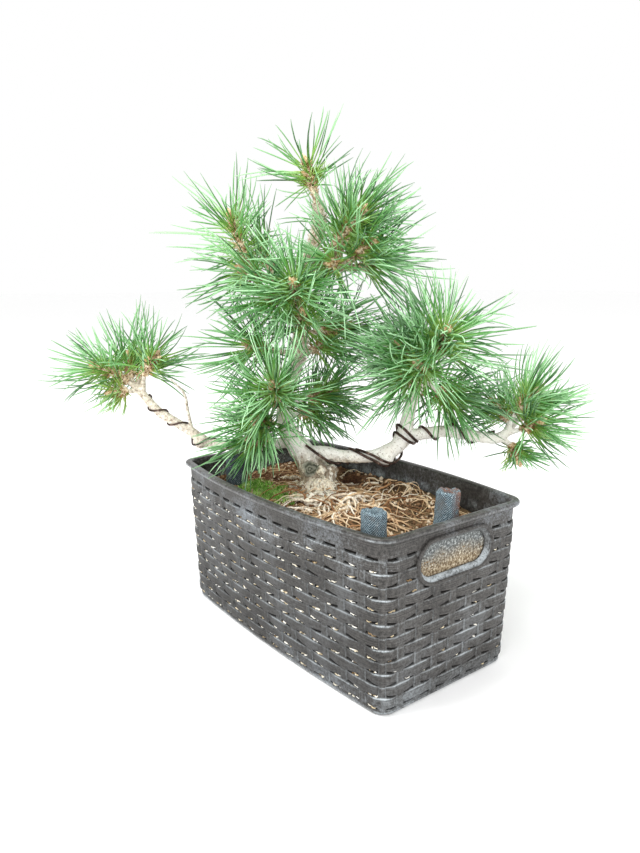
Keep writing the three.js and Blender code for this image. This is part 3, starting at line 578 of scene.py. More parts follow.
def wrap_basket():
    """Rows of points from the foot up, over the lip and down inside, each with four readings."""
    sides, shares, stakes, pitches = columns
    rows = []

    def add_row(points, *readings):
        rows.append(np.column_stack([points, *(values + 0 * shares for values in readings)]))

    for height in outer_heights:
        relief, in_slot = weave_relief(stakes, pitches, height)
        chamfer = -1.5 * (1 - ease(height, 0, 1.7))
        relief = np.where(height < 5, 0.35 + chamfer, relief)
        points = wall_places(sides, shares, height, relief)
        points[:, 2] += swelling(stakes, height)
        # Painted highlight: the edge reading makes strand and post edges pale; the foot scuffs
        # added to it are real wear.
        foot_scuff = 0.9 * (0.5 < height < 2) + 0.3 * (1.5 < height < 13) * (sides % 2 == 0)
        edge = edge_highlights(stakes, pitches, shares, height) + foot_scuff
        # Painted shade: the middle of each long side is darkened, to 0.72 at most, in the finish.
        middle = ease(height, 4, 20) * (1 - ease(height, 92, 112))
        faded = np.where(sides % 2, 1 - middle, 1.0)
        add_row(points, in_slot, edge, fibre_place(stakes, pitches, height), faded)
    for height, proud in lip_profile:
        # Painted highlight: a thin pale line along the lip's outer bead, strongest at the corners.
        lip_highlight = 0.25 + 1.3 * ease(np.abs(2 * shares - 1), 0.86, 0.96)
        points = wall_places(sides, shares, height, proud)
        add_row(points, 0, lip_highlight * (proud > 4.9), height, 1)
    for height in inner_heights:
        relief, in_slot = weave_relief(stakes, pitches, height)
        dent = np.where(in_slot > 0, 0.15, -0.35 * np.clip(relief, 0, 2) * (height < 122))
        points = wall_places(sides, shares, height, -WALL + dent)
        # Painted highlight: inside, the wall is painted pale at each slot.
        add_row(points, in_slot * 0.5, in_slot * 0.5, 5, 1)
    return np.array(rows)


sheet = wrap_basket()
basket = fresh(
    bpy.ops.mesh.primitive_grid_add, x_subdivisions=sheet.shape[1],
    y_subdivisions=sheet.shape[0] - 1, size=1)
basket.name = "woven_basket"
sheet = np.concatenate([sheet, sheet[:, :1]], axis=1)
put_points(basket, sheet[..., :3])
write_readings(
    basket, slot=sheet[..., 3], edge=sheet[..., 4], fibre=sheet[..., 5], faded=sheet[..., 6])
print("basket sheet:", len(basket.data.polygons), "faces")

# %% Close the seam, the underside and the floor
close_openings(basket)
print("closed basket:", len(basket.data.polygons), "faces")


# %% [markdown]
# ### The handle holes
# Each short end has a hole with round ends and a raised ring for the fingers. A prism of that
# outline cuts the hole through the wall, and the ring is one profile carried round the outline.

# %% Outline of a handle hole
def round_ended_slot(grow, steps=12):
    """The outline of the handle hole in its own plane, larger by grow."""
    radius = HANDLE_ROUND + grow
    turns = np.linspace(-np.pi / 2, np.pi / 2, steps + 1)
    right = np.stack([HANDLE_HALF + radius * np.cos(turns), radius * np.sin(turns)], axis=-1)
    left = -right
    bottom = np.linspace(-HANDLE_HALF, HANDLE_HALF, 8)[1:-1]
    low = np.stack([bottom, np.full(6, -radius)], axis=-1)
    return np.concatenate([right, -low, left, low])


def slope_highlight(profile):
    """Painted highlight: the ring's inner slope is pale, most of all along its lower edge, which
    faces up.
    """
    outline = round_ended_slot(0)
    lower = 0.2 + 0.8 * ease(-outline[:, 1], 1, 9)
    on_slope = np.array([2.0 if 138.9 < out < 143 and grow < 3 else 0.0 for grow, out in profile])
    return on_slope[:, None] * lower[None, :]


def ring_solid(profile, end):
    """The raised ring: a closed profile (growth, distance out) carried round the hole."""
    rings = []
    for grow, out in profile:
        outline = round_ended_slot(grow)
        x = np.full(len(outline), out)
        rings.append(np.stack([x, outline[:, 0], outline[:, 1] + HANDLE_HEIGHT], axis=-1))
    points = np.array(rings)
    points[..., :2] *= end
    rows, size = points.shape[:2]
    here = np.arange(size)
    after = (here + 1) % size
    loops = []
    for row in range(rows):
        low, high = row * size, ((row + 1) % rows) * size
        loops.append(np.stack([low + here, low + after, high + after, high + here], axis=-1))
    loops = np.concatenate(loops)
    return {
        "points": points.reshape(-1, 3),
        "loops": loops.ravel(),
        "totals": np.full(len(loops), 4),
        "tint": np.zeros(rows * size),
        "run": slope_highlight(profile).ravel(),
        "finish": np.zeros(len(loops), int),
    }


# %% Cut the holes
def slot_prism(end):
    outline = round_ended_slot(2.5)
    size = len(outline)
    faces = [list(range(size))[::-1], list(range(size, 2 * size))]
    faces += [[i, (i + 1) % size, size + (i + 1) % size, size + i] for i in range(size)]
    points = [(end * out * MM, end * y * MM, (z + HANDLE_HEIGHT) * MM)
              for out in (125, 155) for y, z in outline]
    mesh = bpy.data.meshes.new("handle_cutter")
    mesh.from_pydata(points, [], faces)
    cutter = bpy.data.objects.new("handle_cutter", mesh)
    bpy.context.scene.collection.objects.link(cutter)
    return cutter


for end in (1, -1):
    cutter = slot_prism(end)
    apply_modifier(basket, "BOOLEAN", operation="DIFFERENCE", object=cutter, solver="EXACT")
    bpy.data.objects.remove(cutter)
print("cut basket:", len(basket.data.polygons), "faces")

# %% [markdown]
# ### The finish of the plastic
# The plastic is a warm dark grey that years outdoors have dulled. Pale scuffs lie in patches,
# most of them low down and under the lip. Painted highlights run along the strands' upper edges,
# the posts' edges, the lip's bead and the handle rings' lower slopes, and painted shade darkens
# the foot, the middle of the long sides and the slots. Four numbers kept with each point steer
# this: how pale its edge is with painted highlight and scuffs, how deep in a slot it lies, where
# it lies across its fibre, and how free of painted shade it is.

# %% Basket plastic
def basket_plastic():
    finish = new_finish("basket_plastic", roughness=0.5, specular=0.35)
    place = place_in(finish)
    broad = cloud(finish, 17, 5, 0.6, place)
    fine = cloud(finish, 430, 6, 0.8, place)
    fibre_noise = add_node(
        finish, "ShaderNodeTexNoise", {"noise_dimensions": "1D"}, W=reading(finish, "fibre"),
        Scale=1.25, Detail=2.0)
    grain = blend(finish, 0.27, fine, fibre_noise.outputs["Fac"])
    tone = grey_ramp(finish, blend(finish, 0.20, grain, broad), 0.42, 0.60)
    base = blend(finish, tone, (0.014, 0.013, 0.012), (0.102, 0.096, 0.089))
    level = between(finish, along_axis(finish, place, "Z"), 0.0, 0.14)
    zone = ramp(finish, level, [
        (0.00, (1.0,) * 3), (0.06, (0.80,) * 3), (0.13, (0.22,) * 3), (0.70, (0.24,) * 3),
        (0.84, (0.95,) * 3), (0.97, (0.80,) * 3)])
    # Painted shade: the plastic darkens towards the foot, to 0.70 at the bottom.
    base = times(finish, base, grey_ramp(finish, level, 0.0, 0.60, 0.70, 1.0))
    patches = grey_ramp(finish, blend(finish, 0.45, broad, fine), 0.50, 0.63)
    scuff = times(finish, patches, zone)
    scuffed = blend(finish, scuff, base, (0.20, 0.225, 0.25))
    broken = grey_ramp(finish, blend(finish, 0.5, broad, fine), 0.42, 0.58, 0.1, 0.85)
    # Painted highlight, with real scuffs at the foot: the edge reading lightens the colour to pale
    # blue-grey.
    edge = times(finish, reading(finish, "edge"), broken)
    # Painted shade: a reading of 0 darkens the colour to 0.72.
    faded = grey_ramp(finish, reading(finish, "faded"), 0.0, 1.0, 0.72, 1.0)
    painted_light_and_wear = blend(finish, edge, scuffed, (0.40, 0.44, 0.46))
    painted_light_and_wear = times(finish, painted_light_and_wear, faded)
    # Painted shade: the slots, which open into the dark inside, are filled near black.
    slot = grey_ramp(finish, reading(finish, "slot"), 0.55, 0.9)
    final = blend(finish, slot, painted_light_and_wear, (0.010, 0.008, 0.006))
    on_lip = grey_ramp(finish, level, 0.968, 0.975)
    rough = blend(finish, on_lip, grey_ramp(finish, fine, 0.3, 0.7, 0.42, 0.64), (0.30,) * 3)
    paint(finish, final, rough, grain, 0.6, 0.0005)
    return finish


plastic = basket_plastic()
basket.data.materials.append(plastic)
ring_profile = [(0.0, 138.75), (0.0, 139.8), (0.9, 141.0), (2.0, 142.0), (2.8, 142.6), (3.1, 143.7),
                (3.8, 144.5), (4.8, 144.6), (5.7, 144.0), (6.1, 142.8), (6.0, 141.0), (5.0, 139.2)]
handle_rings = build_piece(
    "handle_rings", [ring_solid(ring_profile, 1), ring_solid(ring_profile, -1)], [plastic])
slopes = np.tile(slope_highlight(ring_profile).ravel(), 2)
write_readings(handle_rings, edge=slopes, faded=np.ones(len(slopes)))
face_outwards(handle_rings)
select_only(basket)
bpy.ops.object.shade_smooth_by_angle(angle=math.radians(38))
hand_in(basket, "basket_plastic", "basket")
hand_in(handle_rings, "basket_plastic")

# %% [markdown]
# ## The soil
# The top of the soil is a fine sheet, rounded at the corners like the basket and pushed up and
# down by noise. Its sides and its underside are the same sheet drawn down to the basket's
# floor, so that the soil stays a solid block. Crumbs, dry needles, roots and moss lie on it.

# %% Height of the soil
SOIL_LEVEL = 117.0
TRUNK_FOOT = np.array((-50.0, 17.0))
HOLLOW = np.array((-44.0, 55.0))


def soil_height(x, y):
    lumps = np.sin(x / 10) * np.cos(y / 10)
    return SOIL_LEVEL - 0.016 * x + 0.02 * y + 1.3 * lumps


def rough_noise(points, scale, octaves=4):
    return np.array([noise.fractal(Vector(p) * scale, 0.9, 2.1, octaves) for p in points])


def soil_top(x, y):
    flat = np.stack([x, y, np.zeros_like(x)], axis=-1)
    rough = rough_noise(flat, 0.16) * 1.1 + rough_noise(flat + 50, 0.05, 2) * 1.2
    hollow = 9.0 * np.exp(-((x - HOLLOW[0]) ** 2 + (y - HOLLOW[1]) ** 2) / 75.0)
    mound = 3.0 * np.exp(-((x - 6) ** 2 + (y + 12) ** 2) / 1500.0)
    mound = mound + 4.5 * np.exp(-((x - 12) ** 2 / 1600.0 + (y - 80) ** 2 / 200.0))
    return soil_height(x, y) + rough - hollow + mound - 0.5


# %% Soil sheet
SOIL_COLUMNS, SOIL_ROWS = 170, 104
SOIL_INSET = 2.9
RIM_HEIGHT = 115.0
soil = fresh(
    bpy.ops.mesh.primitive_grid_add, x_subdivisions=SOIL_COLUMNS, y_subdivisions=SOIL_ROWS,
    size=2)
soil.name = "gritty_soil"


def soil_plan(u, v, height):
    """Spreads a square over the basket's plan, with its corners drawn in to a round."""
    half_x = at_height(LONG_HALF, height) - SOIL_INSET
    half_y = at_height(WIDE_HALF, height) - SOIL_INSET
    x = u * half_x
    y = v * half_y
    dx = np.maximum(np.abs(x) - (half_x - CORNER), 0)
    dy = np.maximum(np.abs(y) - (half_y - CORNER), 0)
    far = np.hypot(dx, dy)
    shrink = np.where(far > 0, np.maximum(dx, dy) / np.maximum(far, 1e-9), 1)
    x = np.where((dx > 0) & (dy > 0), np.sign(x) * (half_x - CORNER + dx * shrink), x)
    y = np.where((dx > 0) & (dy > 0), np.sign(y) * (half_y - CORNER + dy * shrink), y)
    bow = at_height(BOW, height) * (1 - (x / (half_x - CORNER)) ** 2).clip(0, 1)
    return x, y * (1 + bow / half_y)


across, along = (v.ravel() for v in np.meshgrid(
    np.linspace(-1, 1, SOIL_COLUMNS + 1), np.linspace(-1, 1, SOIL_ROWS + 1)))
soil_x, soil_y = soil_plan(across, along, RIM_HEIGHT)
soil_z = soil_top(soil_x, soil_y)
soil_z -= 1.5 * ease(np.maximum(np.abs(across), np.abs(along)), 0.93, 1.0)
put_points(soil, np.stack([soil_x, soil_y, soil_z], axis=-1))
print("soil between", soil_z.min().round(1), "and", soil_z.max().round(1), "mm")

# %% Draw the soil's sides down and close it
select_only(soil)
bpy.ops.object.mode_set(mode="EDIT")
bpy.ops.mesh.select_all(action="DESELECT")
bpy.ops.mesh.select_mode(type="EDGE")
bpy.ops.mesh.select_non_manifold()
bpy.ops.mesh.extrude_edges_move(TRANSFORM_OT_translate={"value": (0, 0, -0.05)})
bpy.ops.object.mode_set(mode="OBJECT")
soil_points = read_shape(soil, keep=True)["points"]
foot = soil_points[(SOIL_COLUMNS + 1) * (SOIL_ROWS + 1):]
LESS_BOW = 0.925
for axis, half, bow_share in ((0, LONG_HALF, 1), (1, WIDE_HALF, LESS_BOW)):
    narrower = (half[0] - SOIL_INSET) / (at_height(half, RIM_HEIGHT) - SOIL_INSET)
    foot[:, axis] *= narrower * bow_share
foot[:, 2] = FLOOR + 0.3
put_points(soil, soil_points)
close_openings(soil)
print("soil block:", len(soil.data.polygons), "faces")


# %% Soil finish
def soil_finish():
    finish = new_finish("fibrous_soil", roughness=0.95, specular=0.15)
    place = place_in(finish)
    broad = cloud(finish, 28, 4, 0.6, place)
    grit = cloud(finish, 420, 6, 0.75, place)
    speck = add_node(
        finish, "ShaderNodeTexVoronoi", Vector=place, Scale=520.0).outputs["Distance"]
    red = ramp(finish, broad, [
        (0.30, (0.045, 0.019, 0.010)), (0.50, (0.115, 0.052, 0.024)), (0.72, (0.27, 0.15, 0.075))])
    golden = ramp(finish, broad, [
        (0.30, (0.060, 0.036, 0.017)), (0.50, (0.140, 0.092, 0.047)), (0.72, (0.30, 0.22, 0.125))])
    to_right = between(finish, along_axis(finish, place, "X"), -0.04, 0.05)
    ground = blend(finish, to_right, red, golden)
    gritty = blend(finish, grey_ramp(finish, grit, 0.50, 0.75), ground, (0.34, 0.21, 0.11))
    shadow = grey_ramp(finish, grit, 0.30, 0.46, 0.75, 0.0)
    dark = blend(finish, shadow, gritty, (0.028, 0.014, 0.008))
    pale = blend(finish, grey_ramp(finish, speck, 0.05, 0.16, 0.5, 0.0), dark, (0.5, 0.38, 0.24))
    # Painted shade: the soil down in the hollow is painted much darker.
    to_hollow = add_node(finish, "ShaderNodeVectorMath", {"operation": "DISTANCE"}, Vector=place)
    to_hollow.inputs[1].default_value = (HOLLOW[0] * MM, HOLLOW[1] * MM, 0.112)
    hollow_shade = grey_ramp(finish, to_hollow.outputs["Value"], 0.009, 0.016, 0.9, 0.0)
    hollow_shade_colour = ramp(finish, grit, [(0.38, (0.018, 0.008, 0.005)), (0.62, (0.085, 0.036, 0.018))])
    paint(finish, blend(finish, hollow_shade, pale, hollow_shade_colour), None, grit, 0.9, 0.0014)
    return finish


soil.data.materials.append(soil_finish())
select_only(soil)
bpy.ops.object.shade_smooth()
hand_in(soil, "soil", "soil")

# %% [markdown]
# ## Branches, stems and shoots as smooth routes
# The tree is written as lists of places, each across the spread, towards the viewer, and up.
# A smooth curve runs through each list. The same lists carry the wood, the wire and the shoots.

# %% Places on the tree
SPREAD = math.radians(52)


def tree_point(place):
    """From across the spread, towards the viewer and up, to the basket's axes."""
    across_, front, height = place[:3]
    return np.array((
        TRUNK_FOOT[0] + across_ * math.cos(SPREAD) + front * math.sin(SPREAD),
        TRUNK_FOOT[1] + across_ * math.sin(SPREAD) - front * math.cos(SPREAD),
        height,
    ))


def smooth_route(places, step=2.0):
    """A curve through the points that never loops or overshoots between them."""
    knots = [np.asarray(p, float) for p in places]
    knots = [2 * knots[0] - knots[1], *knots, 2 * knots[-1] - knots[-2]]
    line = []
    for a, b, c, d in zip(knots, knots[1:], knots[2:], knots[3:]):
        ab, bc, cd = (np.linalg.norm(q - p) ** 0.5 for p, q in ((a, b), (b, c), (c, d)))
        start = ((b - a) / ab - (c - a) / (ab + bc) + (c - b) / bc) * bc
        end = ((c - b) / bc - (d - b) / (bc + cd) + (d - c) / cd) * bc
        for t in np.linspace(0, 1, 24, endpoint=False):
            line.append(
                b + start * t + (-3 * b + 3 * c - 2 * start - end) * t * t
                + (2 * b - 2 * c + start + end) * t ** 3)
    line.append(knots[-2])
    line = np.array(line)
    reach = np.concatenate([[0], np.cumsum(np.linalg.norm(np.diff(line, axis=0), axis=1))])
    count = max(int(round(reach[-1] / step)), 3)
    wanted = np.linspace(0, reach[-1], count + 1)
    return np.stack([np.interp(wanted, reach, line[:, axis]) for axis in range(3)], axis=-1)


def list_radii(places, count):
    """The fourth number of each place, evened out along the route."""
    points = np.array([tree_point(p) for p in places])
    reach = np.concatenate([[0], np.cumsum(np.linalg.norm(np.diff(points, axis=0), axis=1))])
    return np.interp(np.linspace(0, reach[-1], count), reach, [p[3] for p in places])


# %% Limbs
limbs = {
    "trunk": [
        (2, 0, 100, 12), (2, 0, 113, 17), (1, 0, 124, 17), (-5, 0, 136, 13.5), (-13, 0, 150, 11.5),
        (-23, 0, 163, 9.8), (-30, 3, 181, 8.4), (-29, 3, 202, 7.4), (-24, 0, 220, 6.6),
        (-17, -3, 244, 6), (-15, -4, 267, 5.6), (-17, -2, 290, 5.2), (-13, 0, 312, 4.8),
        (-6, 2, 332, 4.4), (0, 3, 352, 3.8), (4, 4, 367, 3.4), (1, 5, 379, 3)],
    "right_branch": [
        (-14, 1, 150, 7), (3, 8, 152, 7), (26, 14, 150, 6.2), (50, 18, 151, 6), (70, 18, 157, 7.6),
        (79, 17, 166, 8), (83, 18, 181, 6.6), (87, 20, 202, 5.6), (94, 24, 220, 5),
        (102, 30, 238, 4)],
    "right_fork": [
        (76, 17, 162, 6), (88, 18, 170, 6), (100, 20, 173, 5.8), (123, 20, 175, 5.6),
        (151, 22, 170, 5.4), (167, 22, 169, 5), (176, 23, 175, 3.8)],
    "left_branch": [
        (-20, 0, 163, 6), (-30, -2, 160, 5.4), (-50, -4, 156, 4.8), (-75, -8, 155, 4.6),
        (-102, -10, 157, 5), (-112, -11, 161, 5.8), (-120, -12, 167, 4.8), (-138, -14, 178, 4.6),
        (-154, -16, 188, 4.5), (-166, -18, 201, 4), (-174, -20, 210, 3.4)],
    "upper_right_branch": [(-9, 1, 327, 3.6), (3, 5, 329, 3.3), (14, 9, 338, 2.8)],
    "middle_right_branch": [
        (-13, 0, 315, 3.6), (5, 4, 319, 3.2), (21, 6, 323, 3), (34, 8, 323, 2.6)],
    "upper_left_branch": [
        (-15, -1, 301, 3.6), (-30, 0, 308, 3.3), (-45, 2, 314, 3), (-56, 3, 322, 2.6)],
    "dead_twig": [
        (-121, -12, 167, 2.0), (-124, -8, 191, 1.7), (-126, -4, 207, 1.5), (-137, 2, 222, 1.1)],
}

# %% Lumps and surface roots
lumps = [
    ((-9, 12, 137), (7, 7, 6.5)), ((5, 13, 136), (6, 6, 6)), ((14, 3, 133), (7, 7, 7)),
    ((64, 21, 150), (8, 8, 6.5)), ((-113, -9, 159), (7, 6.5, 6.5)), ((-4, 15, 121), (12, 11, 8)),
    ((4, 25, 122), (15, 13, 8)), ((8, 40, 119), (13, 11, 6))]
surface_roots = [
    (-88, 46, 4.8), (-44, 62, 5.4), (-4, 70, 4.4), (52, 46, 3.6), (130, 38, 3.4), (-172, 50, 4),
    (-130, 44, 3.6)]

# %% Shoots: where the stem leaves, where the needles start, the bud, needles and their length
shoots = {
    "apex": ((2, 5, 374), (-1, 5, 388), (-9, 8, 413), 16, 1),
    "upright_a": ((11, 8, 336), (18, 10, 344), (40, 24, 371), 16, 0.95),
    "upright_b": ((11, 8, 335), (18, 0, 348), (34, -14, 372), 12, 0.95),
    "upright_c": ((20, 6, 323), (30, 14, 330), (48, 30, 345), 12, 0.95),
    "upright_d": ((30, 8, 323), (40, 8, 324), (55, 12, 331), 12, 0.95),
    "upright_e": ((18, 6, 322), (20, 14, 325), (12, 32, 326), 8, 0.95),
    "upright_f": ((2, 5, 329), (16, -8, 336), (31, -34, 353), 8, 0.95),
    "centre_a": ((-16, -2, 284), (-16, 16, 293), (-19, 46, 310), 16, 0.95),
    "centre_b": ((-16, -1, 292), (-28, 10, 295), (-43, 28, 299), 12, 0.95),
    "centre_c": ((-15, -4, 258), (-12, 5, 267), (-12, 24, 283), 8, 0.95),
    "upper_left_a": ((-53, 3, 320), (-63, 4, 330), (-76, 6, 368), 16, 1),
    "upper_left_b": ((-32, 0, 308), (-41, -8, 322), (-55, -22, 346), 12, 0.95),
    "upper_left_c": ((-38, 1, 311), (-49, 7, 313), (-66, 16, 322), 12, 0.95),
    "middle_left": ((-17, -3, 245), (-41, 8, 249), (-61, 22, 256), 12, 0.95),
    "middle_right_a": ((-17, -3, 243), (-4, -10, 247), (11, -28, 257), 12, 0.95),
    "middle_right_b": ((-15, -4, 262), (2, -7, 266), (29, -14, 270), 12, 0.95),
    "lower_a": ((-29, 3, 194), (-34, 20, 201), (-37, 52, 223), 20, 0.98),
    "lower_b": ((-30, 3, 179), (-41, 15, 182), (-56, 34, 189), 12, 0.9),
    "lower_c": ((-41, -3, 157), (-49, 8, 163), (-61, 26, 168), 11, 0.85),
    "lower_d": ((-28, 3, 200), (-8, -8, 202), (14, -20, 206), 14, 0.85),
    "lower_e": ((-29, 3, 187), (-18, -8, 187), (-3, -34, 187), 12, 0.8),
    "left_a": ((-173, -20, 209), (-184, -19, 217), (-212, -12, 234), 16, 0.9),
    "left_b": ((-173, -20, 209), (-182, -25, 220), (-187, -36, 239), 12, 0.9),
    "left_c": ((-169, -19, 205), (-166, -18, 224), (-153, -12, 242), 12, 0.9),
    "left_d": ((-172, -20, 208), (-183, -13, 208), (-195, -6, 208), 8, 0.38),
    "left_e": ((-171, -19, 207), (-174, -29, 218), (-176, -54, 238), 12, 0.78),
    "right_a": ((101, 30, 236), (104, 36, 246), (111, 56, 270), 20, 1.12),
    "right_b": ((97, 26, 226), (92, 25, 240), (75, 29, 255), 16, 1),
    "right_c": ((98, 26, 228), (98, 36, 233), (87, 54, 240), 12, 1),
    "right_d": ((92, 23, 214), (88, 29, 222), (76, 42, 232), 12, 1),
    "right_e": ((97, 25, 225), (110, 24, 214), (127, 20, 203), 18, 0.95),
    "right_f": ((100, 28, 233), (100, 15, 246), (98, -10, 263), 12, 0.95),
    "far_a": ((175, 23, 174), (182, 26, 194), (195, 30, 212), 16, 0.85),
    "far_b": ((174, 23, 173), (187, 28, 179), (200, 37, 187), 12, 0.85),
    "far_c": ((168, 22, 169), (179, 24, 163), (185, 28, 150), 8, 0.5),
    "far_d": ((173, 22, 172), (178, 15, 184), (167, 4, 198), 12, 0.8),
    "far_e": ((175, 23, 174), (190, 11, 186), (207, -14, 197), 12, 0.72),
    "back_a": ((-16, -2, 289), (-20, -16, 297), (-31, -46, 307), 8, 0.9),
    "back_b": ((88, 20, 203), (93, 6, 206), (104, -24, 217), 8, 0.9),
}
print(len(limbs), "limbs and", len(shoots), "shoots")


def shoot_route(name):
    """The whole stem and shoot, and the share of its length at which the needles start."""
    leave, start, bud = (tree_point(p) for p in shoots[name][:3])
    stem = np.linalg.norm(start - leave)
    return smooth_route([leave, start, bud], 1.0), stem / (stem + np.linalg.norm(bud - start))


# %% [markdown]
# ## The wood
# Trunk, branches, roots and stems grew as one body. Tubes along the routes and a few lumps are
# put together, and a voxel remesh melts them into one skin, as the wood grew together at every
# fork. The bark is then pushed in and out of that skin: coarse plates at the foot, fine scars
# on the branches, and a sawn knot with rings at the front of the foot.

# %% Put the tubes together
wood_parts = []
for name, places in limbs.items():
    route = smooth_route([tree_point(p) for p in places], 2.5)
    radii = list_radii(places, len(route))
    wave = np.array([noise.noise(Vector((i * 0.23, len(route), 0))) for i in range(len(route))])
    thick = np.clip(radii / 17, 0.25, 1)
    wood_parts.append(tube(route, radii * (1 + 0.10 * wave) - 0.1 * thick, 16))
for name in shoots:
    route, share = shoot_route(name)
    stem = route[:max(int(len(route) * share) + 1, 3)]
    wood_parts.append(tube(stem, np.linspace(3.0, 2.2, len(stem)), 10))
for angle, length, radius in surface_roots:
    turned = math.radians(angle)
    places = []
    for reach, bend, lift in ((6, 0, 4), (20, 0.06, 1.6), (length * 0.55, -0.08, 0.4),
                              (length * 0.8, 0.06, -0.2), (length, 0.16, -3)):
        x = TRUNK_FOOT[0] + reach * math.cos(turned + bend)
        y = TRUNK_FOOT[1] + reach * math.sin(turned + bend)
        places.append((x, y, float(soil_height(np.array(x), np.array(y))) + lift))
    route = smooth_route(places, 2.5)
    wood_parts.append(tube(route, np.linspace(radius, radius * 0.3, len(route)) + 0.2, 10))

# %% Lumps
ball = read_shape(fresh(
    bpy.ops.mesh.primitive_uv_sphere_add, segments=16, ring_count=10, radius=MM))
for place, size in lumps:
    squeezed = ball["points"] * np.array(size)
    turned = np.stack([
        squeezed[:, 0] * math.cos(SPREAD) - squeezed[:, 1] * math.sin(SPREAD),
        squeezed[:, 0] * math.sin(SPREAD) + squeezed[:, 1] * math.cos(SPREAD),
        squeezed[:, 2]], axis=-1)
    placed = (turned + tree_point(place))[None]
    wood_parts.append(copies(ball, placed, np.array([0.5]), np.zeros(len(turned))))

# %% Melt them into one skin
wood = build_piece("pine_wood", wood_parts, [])
apply_modifier(wood, "REMESH", mode="VOXEL", voxel_size=1.15 * MM, use_smooth_shade=True)
apply_modifier(wood, "SMOOTH", factor=0.5, iterations=4)
print("wood skin:", len(wood.data.polygons), "faces")

# %% Push the bark in and out
wood_shape = read_shape(wood, keep=True)
wood_points = wood_shape["points"]
wood_normals = np.empty(len(wood_points) * 3)
wood.data.vertices.foreach_get("normal", wood_normals)
wood_normals = wood_normals.reshape(-1, 3)
low_down = 1 - ease(wood_points[:, 2], 134, 162)
off_axis = np.linalg.norm(wood_points[:, :2] - TRUNK_FOOT, axis=1)
low_down = low_down * (1 - ease(off_axis, 34, 60))
plates = rough_noise(wood_points * (1, 1, 0.45), 0.20, 5)
scars = rough_noise(wood_points * (0.5, 0.5, 1.6), 0.42, 3)
scaly = ease(wood_points[:, 2], 195, 270) * (np.abs(off_axis) < 110)
upmost = ease(wood_points[:, 2], 300, 335)
weathered = 0.6 * ease(-wood_points[:, 0], 95, 125)
flakes = rough_noise(wood_points, 0.55, 2)
knobs = rough_noise(wood_points + 30, 0.32, 3)
gnarled = 1.5 * plates + 1.1 * knobs - 0.4
push = 0.32 * scars + low_down * gnarled + scaly * (0.45 * flakes + 0.25) + 0.8 * upmost

# %% The sawn knot and its rings
knot_middle = tree_point((-5.5, 12, 138))
knot_out = tree_point((-7, 30, 140)) - knot_middle
knot_out /= np.linalg.norm(knot_out)
from_knot = wood_points - (knot_middle + knot_out * 6)
depth = from_knot @ knot_out
knot_first = np.cross(knot_out, (0, 0, 1.0))
knot_second = np.cross(knot_out, knot_first)
turned = np.arctan2(from_knot @ knot_second, from_knot @ knot_first)
ring = np.linalg.norm(from_knot - depth[:, None] * knot_out, axis=1)
ring = ring * (1 + 0.13 * np.sin(3 * turned + 1) + 0.07 * np.sin(5 * turned)) + 0.35 * knobs
near = (np.abs(depth) < 7) & (ring < 10)
collar = 1.5 * np.exp(-((ring - 7.4) / 1.5) ** 2)
hollow = -1.7 * (1 - ease(ring, 3.5, 6.2)) + 0.4 * np.sin(ring * 2.3) * (ring < 6)
push = np.where(near, push * 0.4 + collar + hollow, push)
knot_colour = np.where(near, 1 - ease(ring, 5.9, 8.0), 0)
ring_colour = 0.5 + 0.5 * np.sin(ring * 2.3) + 0.5 * flakes

# %% The small pale knot beside it
small_knot = tree_point((7, 20, 138.5))
from_small = np.linalg.norm(wood_points - small_knot, axis=1)
pale_spot = np.exp(-(from_small / 2.8) ** 2)
push = push + 1.5 * pale_spot - 0.9 * np.exp(-(from_small / 1.3) ** 2)
put_points(wood, wood_points + wood_normals * push[:, None])
write_readings(
    wood, knot=knot_colour, rings=ring_colour, low_down=low_down, plates=plates,
    scaly=np.maximum(scaly, weathered), pale=pale_spot)
wood.data.update()
print("bark pushed by", push.min().round(1), "to", push.max().round(1), "mm")


# %% Bark finish
def bark_finish():
    finish = new_finish("pine_bark", roughness=0.85, specular=0.2)
    place = place_in(finish)
    broad = cloud(finish, 45, 4, 0.6, place)
    flaky = cloud(finish, 330, 6, 0.7, place)
    smooth_bark = ramp(finish, broad, [
        (0.30, (0.78, 0.74, 0.66)), (0.50, (0.88, 0.86, 0.80)), (0.70, (0.95, 0.94, 0.90))])
    rough_bark = ramp(finish, broad, [
        (0.34, (0.66, 0.56, 0.38)), (0.48, (0.84, 0.77, 0.60)), (0.62, (0.95, 0.93, 0.84))])
    scaly_bark = ramp(finish, flaky, [
        (0.38, (0.22, 0.14, 0.085)), (0.50, (0.56, 0.44, 0.31)), (0.62, (0.84, 0.77, 0.65))])
    low = grey_ramp(finish, reading(finish, "low_down"), 0.15, 0.9)
    speckle = grey_ramp(finish, cloud(finish, 400, 2, 0.6, place), 0.43, 0.50, 0.78, 0.0)
    rough_bark = blend(finish, speckle, rough_bark, (0.17, 0.13, 0.08))
    bark = blend(finish, low, smooth_bark, rough_bark)
    bark = blend(finish, reading(finish, "scaly"), bark, scaly_bark)
    specks = grey_ramp(finish, cloud(finish, 640, 3, 0.6, place), 0.60, 0.68, 0.0, 0.55)
    bark = blend(finish, specks, bark, (0.33, 0.25, 0.17))
    cracks = grey_ramp(finish, flaky, 0.33, 0.44, 0.85, 0.0)
    cracked = blend(finish, cracks, bark, (0.20, 0.14, 0.09))
    furrow = grey_ramp(finish, reading(finish, "plates"), -1.00, -0.62, 0.75, 0.0)
    furrowed = blend(finish, times(finish, furrow, low), cracked, (0.26, 0.19, 0.12))
    knot_rings = ramp(finish, reading(finish, "rings"), [
        (0.20, (0.085, 0.090, 0.065)), (0.80, (0.27, 0.27, 0.21))])
    ringed = blend(finish, reading(finish, "knot"), furrowed, knot_rings)
    ringed = blend(finish, reading(finish, "pale"), ringed, (0.90, 0.87, 0.76))
    paint(finish, ringed, None, flaky, 0.7, 0.0008)
    return finish


